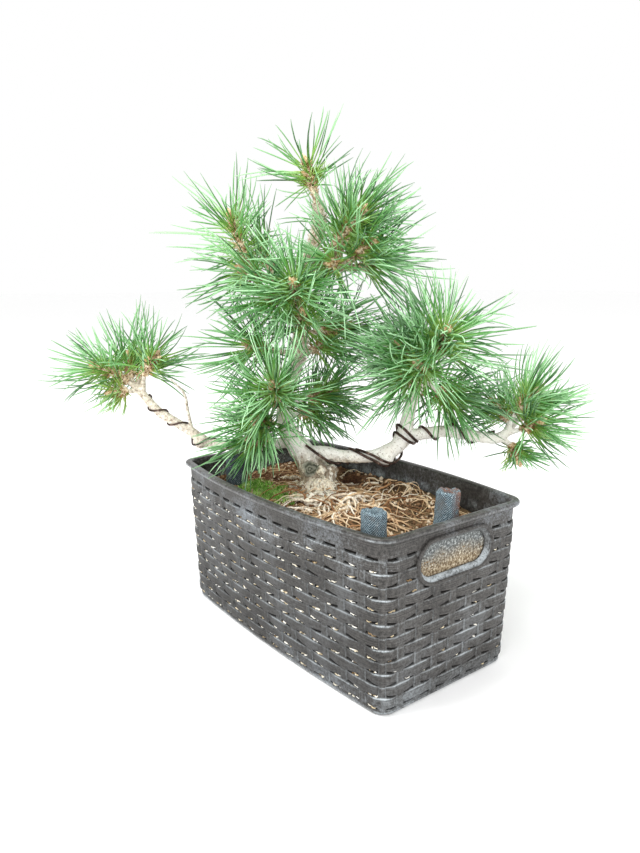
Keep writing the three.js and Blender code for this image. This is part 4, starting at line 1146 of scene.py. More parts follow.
wood.data.materials.append(bark_finish())
select_only(wood)
bpy.ops.object.shade_smooth()
hand_in(wood, "bark", "trunk")
wood_tree = touch_tree(wood)

# %% [markdown]
# ## The training wire
# Copper wire, annealed nearly black, is wound round the two side branches to hold their bends.
# Each winding lists shares of the branch's length with the turns made by then: whole turns lie
# on top, halves below. At every step the wire moves out until it just lies on the bark.

# %% Wind the wire
wire_finish = new_finish("annealed_copper", roughness=0.42, metallic=0.75)
wire_dark = cloud(wire_finish, 260, 4, 0.6)
paint(wire_finish, ramp(wire_finish, wire_dark, [
    (0.38, (0.032, 0.020, 0.016)), (0.56, (0.090, 0.054, 0.042)), (0.74, (0.38, 0.26, 0.21))]),
    None, wire_dark, 0.2, 0.0002)


def wind_wire(places, winding, radius):
    """The wire's middle line, moved out from the branch until it just clears the bark."""
    route = smooth_route([tree_point(p) for p in places], 0.5)
    radii = list_radii(places, len(route))
    shares, turns = [winding[0][0]], [winding[0][1]]
    for (share_before, turn_before), (share, turn) in zip(winding, winding[1:]):
        count = math.ceil(abs(turn - turn_before) * 40)
        shares += list(np.linspace(share_before, share, count + 1)[1:])
        turns += list(np.linspace(turn_before, turn, count + 1)[1:])
    spots, outs, reaches = [], [], []
    for share, turned in zip(shares, turns):
        at = share * (len(route) - 1)
        index = min(int(at), len(route) - 2)
        centre = route[index] + (route[index + 1] - route[index]) * (at - index)
        ahead = route[min(index + 4, len(route) - 1)] - route[max(index - 3, 0)]
        ahead /= np.linalg.norm(ahead)
        upward = np.array((0, 0, 1.0)) - ahead * ahead[2]
        upward /= np.linalg.norm(upward)
        frontward = np.cross(ahead, upward)
        angle = 2 * math.pi * turned
        out = upward * math.cos(angle) + frontward * math.sin(angle)
        reach = radii[index] * 0.6
        while reach < radii[index] + 18:
            nearest = wood_tree.find_nearest(Vector(centre + out * reach))
            inside = (Vector(centre + out * reach) - nearest[0]).dot(nearest[1]) < 0
            if not inside and nearest[3] > radius + 0.05:
                break
            reach += 0.2
        spots.append(centre)
        outs.append(out)
        reaches.append(reach)
    reaches = np.array(reaches)
    padded = np.pad(reaches, 5, mode="edge")
    eased = np.array([padded[i:i + 11].mean() for i in range(len(reaches))])
    reaches = np.maximum(reaches, eased)
    line = np.array(spots) + np.array(outs) * reaches[:, None]
    return smooth_route(line[::4], 1.2)


THICK_WIRE, THIN_WIRE = 1.25, 0.9
right_wired = limbs["right_branch"][:5] + limbs["right_fork"][1:]
wires = {
    "wire_right_a": (right_wired, [
        (0.04, 0.1), (0.12, 0.3), (0.19, 0.5), (0.235, 1), (0.42, 1.5), (0.5, 2), (0.545, 2.5),
        (0.6, 3), (0.66, 3.5), (0.74, 4), (0.83, 4.5), (0.93, 5)], THICK_WIRE),
    "wire_right_b": (right_wired, [
        (0.225, 0.5), (0.27, 1), (0.455, 1.5), (0.525, 2), (0.57, 2.4)], THICK_WIRE),
    "wire_left": (limbs["left_branch"], [
        (0.2, 1), (0.28, 0.5), (0.34, 0), (0.42, -0.5), (0.48, -1), (0.58, -1.5), (0.66, -2),
        (0.75, -2.5), (0.8, -3), (0.88, -3.5), (0.93, -4)], THIN_WIRE),
}
for name, settings in wires.items():
    line = wind_wire(*settings)
    wire = build_piece("copper_" + name, [tube(line, settings[-1], 10)], [wire_finish])
    hand_in(wire, "copper_wire", name)

# %% [markdown]
# ## The needles
# A mugo pine bears its needles in pairs, each pair in a short brown sheath. They stand out wide
# at the foot of a shoot and point forwards at its bud. One needle is modelled: a four-sided
# rod, cut into short lengths so that it can bend, thickest in the middle and slim at its tip.

# %% One needle and one sheath
rod = fresh(
    bpy.ops.mesh.primitive_cylinder_add, vertices=4, radius=MM, depth=MM, end_fill_type="TRIFAN",
    location=(0, 0, MM / 2))
for cut in (0.12, 0.38, 0.64, 0.86):
    bpy.ops.object.mode_set(mode="EDIT")
    bpy.ops.mesh.select_all(action="SELECT")
    bpy.ops.mesh.bisect(plane_co=(0, 0, cut * MM), plane_no=(0, 0, 1))
    bpy.ops.object.mode_set(mode="OBJECT")
needle = read_shape(rod)
needle_run = needle["points"][:, 2].copy()
NEEDLE_RADIUS = 0.62
thickness = np.interp(needle_run, (0, 0.12, 0.64, 0.86, 1.0), (0.75, 1.0, 1.0, 0.86, 0.30))
print("needle:", len(needle["points"]), "points")

sheath = read_shape(fresh(
    bpy.ops.mesh.primitive_cone_add, vertices=5, radius1=0.8 * MM, radius2=1.15 * MM, depth=MM,
    end_fill_type="NOTHING", location=(0, 0, MM / 2)))
sheath_run = sheath["points"][:, 2].copy()


# %% Place rods along directions
def side_axes(direction):
    """Two directions across each given one."""
    helper = np.where(np.abs(direction[:, 2:3]) < 0.9, [[0, 0, 1.0]], [[1.0, 0, 0]])
    first = np.cross(direction, helper)
    first /= np.linalg.norm(first, axis=1)[:, None]
    return first, np.cross(direction, first)


def bent_rods(shape, run, widths, roots, directions, lengths, bends, sways=0.0):
    """Copies of a rod, stretched along its direction, bent at its tip, swayed in its middle."""
    first, second = side_axes(directions)
    along_rod = run[None, :, None]
    middle = roots[:, None] + directions[:, None] * lengths[:, None, None] * along_rod
    middle = middle + bends[:, None] * along_rod ** 2 + sways * along_rod * (1 - along_rod)
    x = shape["points"][:, 0] * widths
    y = shape["points"][:, 1] * widths
    return middle + first[:, None] * x[None, :, None] + second[:, None] * y[None, :, None]


# %% [markdown]
# ### Where needles may grow
# A needle that would run through wood, soil, a mesh tube or the basket's rim is drawn again in
# another direction, and one that would leave the tree's own box is made shorter.

# %% Room for a needle
mesh_tubes = {
    "mesh_tube_front": (113.0, -57.0, 150.0),
    "mesh_tube_right": (115.0, 17.0, 152.0),
    "mesh_tube_left": (-103.0, -42.0, 145.0),
}


RIM_LONG, RIM_WIDE, RIM_BOW, RIM_STRAIGHT = 139.0, 72.0, 11.8, 130.0
RIM_GAP = 6
TUBE_GAP = 11.5


def is_free(root, direction, length, bend):
    """Clear of soil, rim and mesh tubes at three places, and no wood is in the way."""
    for share in (0.35, 0.7, 1.0):
        spot = root + direction * length * share + bend * share ** 2
        if spot[2] < SOIL_LEVEL + 5:
            return False
        if spot[2] < BASKET_HEIGHT + 4:
            beyond_x = abs(spot[0]) - RIM_LONG
            bow_here = RIM_BOW * max(1 - (spot[0] / RIM_STRAIGHT) ** 2, 0)
            beyond_y = abs(spot[1]) - RIM_WIDE - bow_here
            if max(beyond_x, beyond_y) > -RIM_GAP:
                return False
        for x, y, top in mesh_tubes.values():
            if spot[2] < top + 1 and math.hypot(spot[0] - x, spot[1] - y) < TUBE_GAP:
                return False
    start = root + direction * 5
    reach = root + direction * length + bend - start
    far = np.linalg.norm(reach)
    return wood_tree.ray_cast(Vector(start), Vector(reach / far), far)[0] is None


def room_left(root, whole):
    """The share of a needle that stays inside the tree's box."""
    share = 1.0
    for axis in range(3):
        if whole[axis] > 1e-6:
            share = min(share, (HIGH[axis] - 0.8 - root[axis]) / whole[axis])
        elif whole[axis] < -1e-6:
            share = min(share, (LOW[axis] + 0.8 - root[axis]) / whole[axis])
    return max(share, 0.0)


# %% Needles of one shoot
NEEDLE_LENGTH = 57.0
GOLDEN_TURN = math.radians(137.5)
SIDEWAYS = np.array((0.614, 0.790, 0.0))
fullness = {
    "apex": 1.7, "upright": 4.2, "centre": 4.9, "upper": 2.8, "middle": 4.4, "lower": 5.4,
    "left": 3.0, "right": 4.5, "far": 4.2, "back": 4.4}
IN_SHADE = {"middle": 0.68, "back": 0.6, "upright_f": 0.75, "lower_d": 0.7, "right_e": 0.7}


def grow_needles(name, random):
    """Pairs of needles up a shoot; under the central bud they part and show the trunk."""
    route, share = shoot_route(name)
    plain, reach = shoots[name][3:]
    first = int(len(route) * share)
    count = int(plain * fullness[name.split("_")[0]])
    rods = []
    for pair in range(count):
        step = 0.06 + 0.94 * (pair + 0.5) / count
        at = first + (len(route) - 4 - first) * step ** 0.8
        index = min(int(at), len(route) - 2)
        foot = route[index] + (route[index + 1] - route[index]) * (at - index)
        axis = route[min(index + 3, len(route) - 1)] - route[max(index - 3, 0)]
        axis /= np.linalg.norm(axis)
        one, two = (v[0] for v in side_axes(axis[None]))
        for attempt in range(9):
            wander = random.normal(0, 0.5 + 0.12 * attempt)
            around = pair * GOLDEN_TURN + wander
            out = one * math.cos(around) + two * math.sin(around)
            tilt = 84 + (33 - 84) * step ** 1.2 + random.normal(0, 16 + 3 * attempt)
            tilt = math.radians(min(max(tilt, 5), 115))
            direction = axis * math.cos(tilt) + out * math.sin(tilt)
            parted = abs(direction @ SIDEWAYS) < 0.42 and direction[2] < -0.15
            if name == "centre_a" and parted:
                continue
            length = NEEDLE_LENGTH * reach * min(max(random.normal(0.88, 0.16), 0.45), 1.06)
            bend = axis * random.uniform(-0.05, 0.34) * length - np.array((0, 0, 0.08 * length))
            bend = bend + random.normal(0, 0.12 * length, 3)
            root = foot + out * 1.9 + direction * 2.5
            room_share = room_left(root, direction * length + bend)
            if room_share < 0.72:
                continue
            length, bend = length * room_share, bend * room_share
            if is_free(root, direction, length, bend):
                rods.append((foot + out * 1.4, root, direction, length, bend, random.random()))
                break
    return rods


def grow_young(name, random, count, shortest, longest, behind=3):
    """This year's first needles: short, yellow-green pairs close behind the bud."""
    route = shoot_route(name)[0]
    axis = route[-1] - route[-6]
    axis /= np.linalg.norm(axis)
    one, two = (v[0] for v in side_axes(axis[None]))
    rods = []
    for pair in range(count):
        around = pair * GOLDEN_TURN + random.normal(0, 0.3)
        out = one * math.cos(around) + two * math.sin(around)
        tilt = math.radians(random.uniform(48, 100))
        direction = axis * math.cos(tilt) + out * math.sin(tilt)
        length = random.uniform(shortest, longest)
        foot = route[-random.integers(behind, behind + 12)]
        root = foot + out * 2.1 + direction * 1.5
        bend = axis * 0.15 * length + random.normal(0, 0.07 * length, 3)
        share = room_left(root, direction * length + bend)
        if share > 0.5:
            rods.append((
                foot + out * 1.6, root, direction, length * share, bend * share, random.random()))
    return rods


def needle_parts(rods, random, finish=0):
    """Both needles of every pair, and its sheath."""
    feet, roots, ways, lengths, bends, tints = (np.array(values) for values in zip(*rods))
    first, second = side_axes(ways)
    spin = random.uniform(0, 2 * np.pi, len(rods))[:, None]
    apart = first * np.cos(spin) + second * np.sin(spin)
    sways = (random.normal(0, 0.17, ways.shape) * lengths[:, None])[:, None]
    parts = []
    for sign in (1, -1):
        spread = random.uniform(0.05, 0.20, len(rods))[:, None] * sign
        turned = ways + apart * spread
        turned /= np.linalg.norm(turned, axis=1)[:, None]
        placed = bent_rods(
            needle, needle_run, thickness * NEEDLE_RADIUS, roots + apart * 0.45 * sign, turned,
            lengths * random.uniform(0.90, 1.0, len(rods)), bends, sways)
        mixed = (tints + random.uniform(-0.12, 0.12, len(rods))).clip(0, 1)
        parts.append(copies(needle, placed, mixed, needle_run, finish))
    sheaths = bent_rods(
        sheath, sheath_run, np.ones(len(sheath_run)), feet, ways,
        np.full(len(rods), 5.6), np.zeros((len(rods), 3)))
    parts.append(copies(sheath, sheaths, tints, sheath_run, 1))
    return parts


# %% [markdown]
# ### Scales
# Where old needles have dropped, their short scales stay on the shoot and make it rough. One
# scale is a small four-sided cone, laid forwards along the shoot with its foot in the bark.

# %% One scale
scale = read_shape(fresh(
    bpy.ops.mesh.primitive_cone_add, vertices=4, radius1=MM, radius2=0.0, depth=MM,
    end_fill_type="TRIFAN", location=(0, 0, MM / 2)))
scale_run = scale["points"][:, 2].copy()


def scale_part(route, radii, per_mm, random, finish=3, width=1.3):
    length = len(route)
    count = int(length * per_mm)
    index = np.minimum((np.arange(count) / per_mm).astype(int), length - 2)
    axis = route[index + 1] - route[index]
    axis /= np.linalg.norm(axis, axis=1)[:, None]
    one, two = side_axes(axis)
    around = (np.arange(count) * GOLDEN_TURN + random.normal(0, 0.2, count))[:, None]
    out = one * np.cos(around) + two * np.sin(around)
    ways = axis * random.uniform(0.5, 0.9, count)[:, None] + out
    ways /= np.linalg.norm(ways, axis=1)[:, None]
    feet = route[index] + out * (radii[index] - 0.5)[:, None]
    placed = bent_rods(
        scale, scale_run, np.full(len(scale_run), width), feet, ways,
        random.uniform(1.6, 3.2, count) * width, axis * 0.5)
    return copies(scale, placed, random.random(count), scale_run, finish)


# %% [markdown]
# ### Buds
# Each shoot ends in a fat resinous bud with smaller ones round it. The bud is a stretched ball
# whose rings swell and shrink, like the scales that wrap it.

# %% One bud
bud = read_shape(fresh(
    bpy.ops.mesh.primitive_uv_sphere_add, segments=8, ring_count=9, radius=MM))
bud_run = (bud["points"][:, 2] + 1) / 2
bud_swell = 1 + 0.12 * np.sin(bud_run * 22 + np.arctan2(bud["points"][:, 1], bud["points"][:, 0]))
bud_width = bud_swell * np.interp(bud_run, (0, 0.35, 0.8, 1), (1.0, 1.0, 0.72, 0.3))


def bud_part(places, ways, lengths, widths, random):
    first, second = side_axes(ways)
    run = bud_run[None, :, None]
    middle = places[:, None] + ways[:, None] * lengths[:, None, None] * run
    x = bud["points"][:, 0] * bud_width
    y = bud["points"][:, 1] * bud_width
    placed = middle + (first[:, None] * x[None, :, None] + second[:, None] * y[None, :, None]) \
        * widths[:, None, None]
    return copies(bud, placed, random.random(len(places)), bud_run, 2)


STRONG_SHOOTS = ("centre_a", "lower_a", "right_a", "right_b", "right_c", "upright_d")


def grow_buds(name, random):
    """A large bud with a ring of small ones: six on a strong shoot, four on the others."""
    route, _ = shoot_route(name)
    axis = route[-1] - route[-4]
    axis /= np.linalg.norm(axis)
    one, two = (v[0] for v in side_axes(axis[None]))
    places, ways, lengths, widths = [route[-1] - axis * 1.5], [axis], [9.5], [3.1]
    ring = 6 if name in STRONG_SHOOTS else 4
    for number in range(ring):
        around = number * 2 * math.pi / ring + random.uniform(0, 0.6)
        out = one * math.cos(around) + two * math.sin(around)
        way = axis + out * random.uniform(0.5, 0.8)
        places.append(route[-2] + out * 1.2)
        ways.append(way / np.linalg.norm(way))
        lengths.append(random.uniform(5, 7.5))
        widths.append(random.uniform(1.7, 2.2))
    return bud_part(*(np.array(v) for v in (places, ways, lengths, widths)), random)


# %% Finishes of needle, sheath, bud and shoot
def needle_finish(name, dark, middle, pale, foot):
    finish = new_finish(name, roughness=0.42, specular=0.24)
    tone = ramp(finish, reading(finish, "tint"), [
        (0.05, dark), (0.50, middle), (0.95, pale)])
    footed = blend(
        finish, grey_ramp(finish, reading(finish, "run"), 0.04, 0.50, 0.70, 0.0), tone, foot)
    # Painted highlight: each needle is painted a paler mint towards its tip.
    tip_highlight = blend(
        finish, grey_ramp(finish, reading(finish, "run"), 0.50, 1.0, 0.0, 0.28), footed,
        (0.62, 0.87, 0.60))
    paint(finish, tip_highlight)
    return finish


green = needle_finish(
    "needle_green", (0.026, 0.105, 0.024), (0.108, 0.340, 0.078), (0.46, 0.78, 0.43),
    (0.36, 0.56, 0.09))
young = needle_finish(
    "needle_young", (0.17, 0.30, 0.05), (0.27, 0.44, 0.085), (0.40, 0.56, 0.16),
    (0.45, 0.52, 0.14))
sheath_brown = tinted_finish("needle_sheath", [
    (0.1, (0.32, 0.18, 0.075)), (0.5, (0.60, 0.41, 0.20)), (0.9, (0.82, 0.68, 0.46))], 0.8)
bud_brown = new_finish("resin_bud", roughness=0.5)
bud_scales = blend(
    bud_brown, grey_ramp(bud_brown, cloud(bud_brown, 500, 3), 0.4, 0.6),
    (0.50, 0.27, 0.11), (0.93, 0.75, 0.48))
bud_shade = grey_ramp(bud_brown, reading(bud_brown, "tint"), 0.1, 0.8, 0.5, 1.0)
paint(bud_brown, times(bud_brown, bud_scales, bud_shade))


def young_bark(name, dark, middle, pale):
    finish = new_finish(name, roughness=0.85)
    grain = cloud(finish, 420, 5)
    tone = ramp(finish, grain, [(0.36, dark), (0.50, middle), (0.64, pale)])
    paint(finish, tone, None, grain, 0.6, 0.0006)
    return finish


shoot_bark = young_bark(
    "shoot_bark", (0.33, 0.20, 0.11), (0.68, 0.52, 0.33), (0.92, 0.83, 0.66))
stem_bark = young_bark(
    "stem_bark", (0.45, 0.34, 0.24), (0.78, 0.70, 0.59), (0.94, 0.91, 0.85))

# %% Grow every spray
needle_total = 0
spray_triangles = 0
for number, name in enumerate(shoots):
    random = np.random.default_rng(500 + number)
    route, share = shoot_route(name)
    shoot = route[max(int(len(route) * share) - 1, 0):]
    rods = grow_needles(name, random)
    shade = IN_SHADE.get(name, IN_SHADE.get(name.split("_")[0], 1.0))
    rods = [(*rod[:5], rod[5] * shade) for rod in rods]
    needle_total += 2 * len(rods)
    swell = 1 + 0.10 * np.sin(np.arange(len(shoot)) * 1.9)
    core_radii = np.linspace(3.2, 2.5, len(shoot)) * swell
    core = tube(shoot, core_radii, 8, finish=3)
    scales = scale_part(shoot, core_radii, 2.0, random)
    parts = needle_parts(rods, random) + [grow_buds(name, random), core, scales]
    if name == "apex":
        parts += needle_parts(grow_young(name, random, 26, 9, 18, 9), random, 4)
    else:
        parts += needle_parts(grow_young(name, random, 7, 10, 24), random, 4)
    leaf = young if name == "left_d" else green
    spray = build_piece(
        "needles_" + name, parts, [leaf, sheath_brown, bud_brown, shoot_bark, young])
    spray_triangles += hand_in(spray, "needles", "spray_" + name)
print(needle_total, "needles,", spray_triangles, "triangles in all sprays")

# %% Scales up the trunk
random = np.random.default_rng(77)
stem_route = smooth_route([tree_point(p) for p in limbs["trunk"]], 1.0)
stem_radii = list_radii(limbs["trunk"], len(stem_route)) + 0.4
upper = stem_route[:, 2] > 236
stem_radii = stem_radii + 0.8 * ease(stem_route[:, 2], 300, 335)
stem_scales = scale_part(stem_route[upper], stem_radii[upper], 4.0, random, 0, 1.5)
bark_scales = build_piece("bark_scales", [stem_scales], [stem_bark], smooth=False)
hand_in(bark_scales, "bark")

# %% [markdown]
# ## The mesh tubes and the mesh behind the handles
# Three rolls of fine blue-grey netting are pushed upright into the soil. The netting's strands
# cross in a herringbone, which is pressed into the skin of a rolled sheet, and its upper edge
# is crumpled inwards. The same kind of netting, in grey, lines the two handle holes.

# %% The netting of a tube
TUBE_RADIUS = 9.7
AROUND_TUBE = 84
V_WIDTH = 2 * math.pi * TUBE_RADIUS / 6
STRAND_PITCH = 1.95
CROSSING_PITCH = 1.5


def do_sum(finish, operation, *values):
    made = add_node(finish, "ShaderNodeMath", {"operation": operation})
    for number, value in enumerate(values):
        if isinstance(value, bpy.types.NodeSocket):
            finish.node_tree.links.new(value, made.inputs[number])
        else:
            made.inputs[number].default_value = value
    return made.outputs[0]


def tube_finish():
    finish = new_finish("blue_netting", roughness=0.75, specular=0.3)
    slope = do_sum(finish, "PINGPONG", reading(finish, "tint"), V_WIDTH)
    climb = do_sum(finish, "ADD", slope, reading(finish, "run"))
    thread = do_sum(finish, "SINE", do_sum(finish, "MULTIPLY", climb, 2 * math.pi / STRAND_PITCH))
    fall = do_sum(finish, "SUBTRACT", slope, reading(finish, "run"))
    steep = do_sum(finish, "MULTIPLY", fall, 2 * math.pi / CROSSING_PITCH)
    crossing = do_sum(finish, "SINE", steep)
    thread = do_sum(finish, "MULTIPLY_ADD", crossing, 0.45, thread)
    place = place_in(finish)
    grain = cloud(finish, 420, 5, 0.75, place)
    uneven = do_sum(finish, "MULTIPLY_ADD", grain, 3.6, -1.4)
    woven = ramp(finish, do_sum(finish, "ADD", thread, uneven), [
        (0.0, (0.045, 0.070, 0.088)), (0.5, (0.112, 0.165, 0.192)), (1.0, (0.30, 0.40, 0.45))])
    dirt = grey_ramp(finish, cloud(finish, 90, 4, 0.6, place), 0.50, 0.68, 0.0, 0.55)
    dirt_and_shade = blend(finish, dirt, woven, (0.12, 0.10, 0.08))
    # Painted shade: the left tube, at negative X, is darkened to less than half.
    dirt_and_shade = times(finish, dirt_and_shade, between(finish, along_axis(finish, place, "X"), -0.08, 0.0, 0.45))
    one_side = between(finish, along_axis(finish, place, "Y"), 0.013, 0.021)
    rusty = grey_ramp(finish, cloud(finish, 190, 4, 0.6, place), 0.38, 0.52)
    rusty = times(finish, one_side, rusty)
    dirt_and_shade = blend(finish, rusty, dirt_and_shade, (0.21, 0.115, 0.085))
    glints = grey_ramp(finish, cloud(finish, 780, 2, 0.5, place), 0.64, 0.70, 0.0, 0.7)
    paint(finish, blend(finish, glints, dirt_and_shade, (0.66, 0.72, 0.74)), None, thread, 0.6, 0.0004)
    return finish


netting = tube_finish()


# %% Roll a tube
LEAN = {"mesh_tube_front": (0.0, 0.0), "mesh_tube_right": (1.4, 1.7), "mesh_tube_left": (-0.5, 0.6)}
for name, (x, y, top) in mesh_tubes.items():
    levels = np.concatenate([[top - 58, 112.0], np.arange(113.0, top - 1.2, 0.62)])
    edge_levels = [(top - 0.9, -0.25), (top - 0.5, -0.8), (top - 0.6, -1.7), (top - 1.5, -2.8),
                   (top - 2.4, -4.2), (top - 2.6, -5.8), (top - 2.2, -7.4), (top - 2.0, -8.8)]
    angles = np.arange(AROUND_TUBE + 1) * 2 * np.pi / AROUND_TUBE
    around, height = np.meshgrid(angles, levels)
    slope = np.abs((around * TUBE_RADIUS / V_WIDTH) % 2 - 1) * V_WIDTH
    radius = TUBE_RADIUS - 0.35 + 0.24 * np.sin(2 * np.pi * (height + slope) / STRAND_PITCH)
    radius = radius + 0.2 * np.sin(around * 3 + x) + 0.12 * np.sin(around * 7 + height * 0.5)
    for level, inward in edge_levels:
        around = np.vstack([around, angles])
        height = np.vstack([height, np.full(len(angles), level)])
        dotted = 0.5 + 0.5 * np.sin(angles * 21 + 3 * inward) * np.cos(angles * 8 - 2 * inward)
        radius = np.vstack([radius, np.full(len(angles), TUBE_RADIUS - 0.3 + inward)])
        height[-1] += (0.7 * dotted - 0.3 + 0.5 * np.sin(angles * 3 + inward)) * (inward < -1)
    ragged = ease(height, top - 5, top - 0.4) * (radius > TUBE_RADIUS - 2.5)
    height = height + ragged * (0.55 * np.sin(around * 4 + x) + 0.4 * np.sin(around * 9 + y) - 0.5)
    leaning = (height - SOIL_LEVEL).clip(0, None) / (top - SOIL_LEVEL)
    points = np.stack([
        x + radius * np.cos(around) + LEAN[name][0] * leaning,
        y + radius * np.sin(around) + LEAN[name][1] * leaning, height], axis=-1)
    roll = fresh(
        bpy.ops.mesh.primitive_grid_add, x_subdivisions=AROUND_TUBE,
        y_subdivisions=len(height) - 1, size=1)
    roll.name = "netting_" + name
    put_points(roll, points)
    unrolled = height - (TUBE_RADIUS - radius) * (radius < TUBE_RADIUS - 1)
    write_readings(roll, run=unrolled, tint=around * TUBE_RADIUS)
    close_openings(roll)
    roll.data.materials.append(netting)
    bpy.ops.object.shade_smooth_by_angle(angle=math.radians(50))
    hand_in(roll, "tube_mesh", name)


# %% Netting behind a handle
def handle_net_finish():
    finish = new_finish("handle_netting", roughness=0.85, specular=0.2)
    place = place_in(finish)
    grain = cloud(finish, 520, 6, 0.75, place)
    broad = cloud(finish, 60, 3, 0.5, place)
    height = do_sum(finish, "MULTIPLY_ADD", broad, 0.012, along_axis(finish, place, "Z"))
    earth = ramp(finish, grain, [
        (0.36, (0.06, 0.038, 0.020)), (0.50, (0.22, 0.165, 0.10)), (0.66, (0.66, 0.60, 0.46))])
    net = ramp(finish, grain, [
        (0.36, (0.035, 0.038, 0.038)), (0.52, (0.14, 0.15, 0.148)), (0.68, (0.55, 0.58, 0.57))])
    above = grey_ramp(finish, between(finish, height, 0.109, 0.124), 0.0, 1.0)
    paint(finish, blend(finish, above, earth, net), None, grain, 0.8, 0.0006)
    return finish


handle_finish = handle_net_finish()
NET_COLUMNS, NET_ROWS = 112, 48
for name, end in (("handle_mesh_near", 1), ("handle_mesh_far", -1)):
    net_y, net_z = np.meshgrid(
        np.linspace(-42, 42, NET_COLUMNS + 1), np.linspace(93, 129, NET_ROWS + 1))
    lean = at_height(LONG_HALF, net_z) - WALL - 0.55
    flat = np.stack([net_y.ravel(), net_z.ravel(), np.full(net_y.size, 3.0 * end)], axis=-1)
    bulge = rough_noise(flat, 0.35, 3).reshape(net_y.shape)
    strands = 0.5 * (np.sin(net_y * 2.6) + np.sin(net_z * 2.6))
    out = lean + 0.12 * strands + 0.14 * bulge.clip(-1, 1)
    net = fresh(
        bpy.ops.mesh.primitive_grid_add, x_subdivisions=NET_COLUMNS, y_subdivisions=NET_ROWS,
        size=1)
    net.name = "netting_" + name
    put_points(net, np.stack([end * out, end * net_y, net_z], axis=-1))
    apply_modifier(net, "SOLIDIFY", thickness=0.6 * MM, offset=-1)
    net.data.materials.append(handle_finish)
    bpy.ops.object.shade_smooth_by_angle(angle=math.radians(50))
    hand_in(net, "handle_mesh", name)

# %% [markdown]
# ## What lies on the soil
# Fine pale roots were laid bare by watering and lie tangled in front of the trunk. Round them
# are crumbs of grit, dry brown needles and, at the left, a cushion of moss.

# %% The plan of the surface
random = np.random.default_rng(31)


def inside_basket(x, y, margin=4.0):
    bow = 9.0 * max(1 - (x / 128.0) ** 2, 0)
    return abs(x) < 137.0 - margin and abs(y) < 71.0 + bow - margin


def clear_ground(x, y, margin=1.0):
    """Neither in the hollow, with the ground in front of it, nor under a mesh tube."""
    toward = 0.76 * (x - HOLLOW[0]) - 0.65 * (y - HOLLOW[1])
    sideways = 0.65 * (x - HOLLOW[0]) + 0.76 * (y - HOLLOW[1])
    if math.hypot((toward - 14) / 29, sideways / 11) < 1:
        return False
    return all(math.hypot(x - tube_x, y - tube_y) > TUBE_RADIUS + margin
               for tube_x, tube_y, _ in mesh_tubes.values())


surface_tree = touch_tree(soil)


def ground(x, y):
    """Height of the soil under a place."""
    hit = surface_tree.ray_cast(Vector((x, y, 160.0)), Vector((0, 0, -1)), 60.0)[0]
    return hit[2] if hit else SOIL_LEVEL


# %% One root
BARE_PATCH = (66.0, 33.0)


def on_bare_patch(x, y, chance):
    """Between the two right-hand tubes most of the earth lies open."""
    return math.hypot(x - BARE_PATCH[0], y - BARE_PATCH[1]) < 21 and random.random() < chance


def root_line(x, y, heading, length, arch, start_lift=0.0):
    """A wandering line that leaves the ground in one arch; it stops short of tubes and walls."""
    plan = [(x, y)]
    curl = random.normal(0, 0.10)
    for _ in range(max(int(length / 4), 4)):
        heading += curl + random.normal(0, 0.22)
        x += 4 * math.cos(heading)
        y += 4 * math.sin(heading)
        if not inside_basket(x, y) or not clear_ground(x, y) or on_bare_patch(x, y, 0.4):
            break
        plan.append((x, y))
    line = []
    for share, (x, y) in zip(np.linspace(0, 1, len(plan)), plan):
        lift = 0.5 + arch * math.sin(math.pi * share) + random.normal(0, 0.45)
        line.append((x, y, ground(x, y) + lift + start_lift * (1 - share)))
    return line


def root_tube(line, step, thick, tip, sides, tint, wave=0.0, pace=1.0):
    """A root that thins to the given share at its tip; a thick one swells and shrinks."""
    route = smooth_route(line, step)
    waist = 1 + wave * np.sin(np.arange(len(route)) * pace)
    return tube(route, np.linspace(thick, thick * tip, len(route)) * waist, sides, tint)


# %% Thick roots
THICK_ROOTS = 24
root_parts = []
while len(root_parts) < THICK_ROOTS:
    from_flare = random.random() < 0.6
    if from_flare:
        angle = random.uniform(-1.7, 0.25)
        x = -14 + 13 * math.cos(angle)
        y = -4 + 13 * math.sin(angle)
        heading = angle + random.normal(0, 0.5)
    else:
        x, y = random.normal(2, 20), random.normal(-24, 15)
        heading = random.uniform(0, 2 * math.pi)
    if not inside_basket(x, y, 6) or not clear_ground(x, y, 4):
        continue
    line = root_line(x, y, heading, random.uniform(24, 60), abs(random.normal(2, 2.5)))
    if len(line) < 4:
        continue
    thick = random.uniform(0.9, 1.9)
    tint = random.uniform(0.74, 0.98)
    root_parts.append(root_tube(line, 2.4, thick, 0.35, 6, tint, 0.14, 1.3))

# %% White arches: place, heading, length, height of the arch, thickness
WHITE_ARCHES = [
    (17, -5, 0.8, 22, 9, 1.6), (27, 5, -2.4, 20, 8, 1.5), (21, 1, 2.3, 18, 7, 1.5),
    (24, -2, -0.6, 24, 6, 1.2)]
for x, y, heading, length, arch, thick in WHITE_ARCHES:
    line = root_line(x, y, heading, length, arch)
    root_parts.append(root_tube(line, 2.0, thick, 0.5, 6, 1.0, 0.18, 1.7))

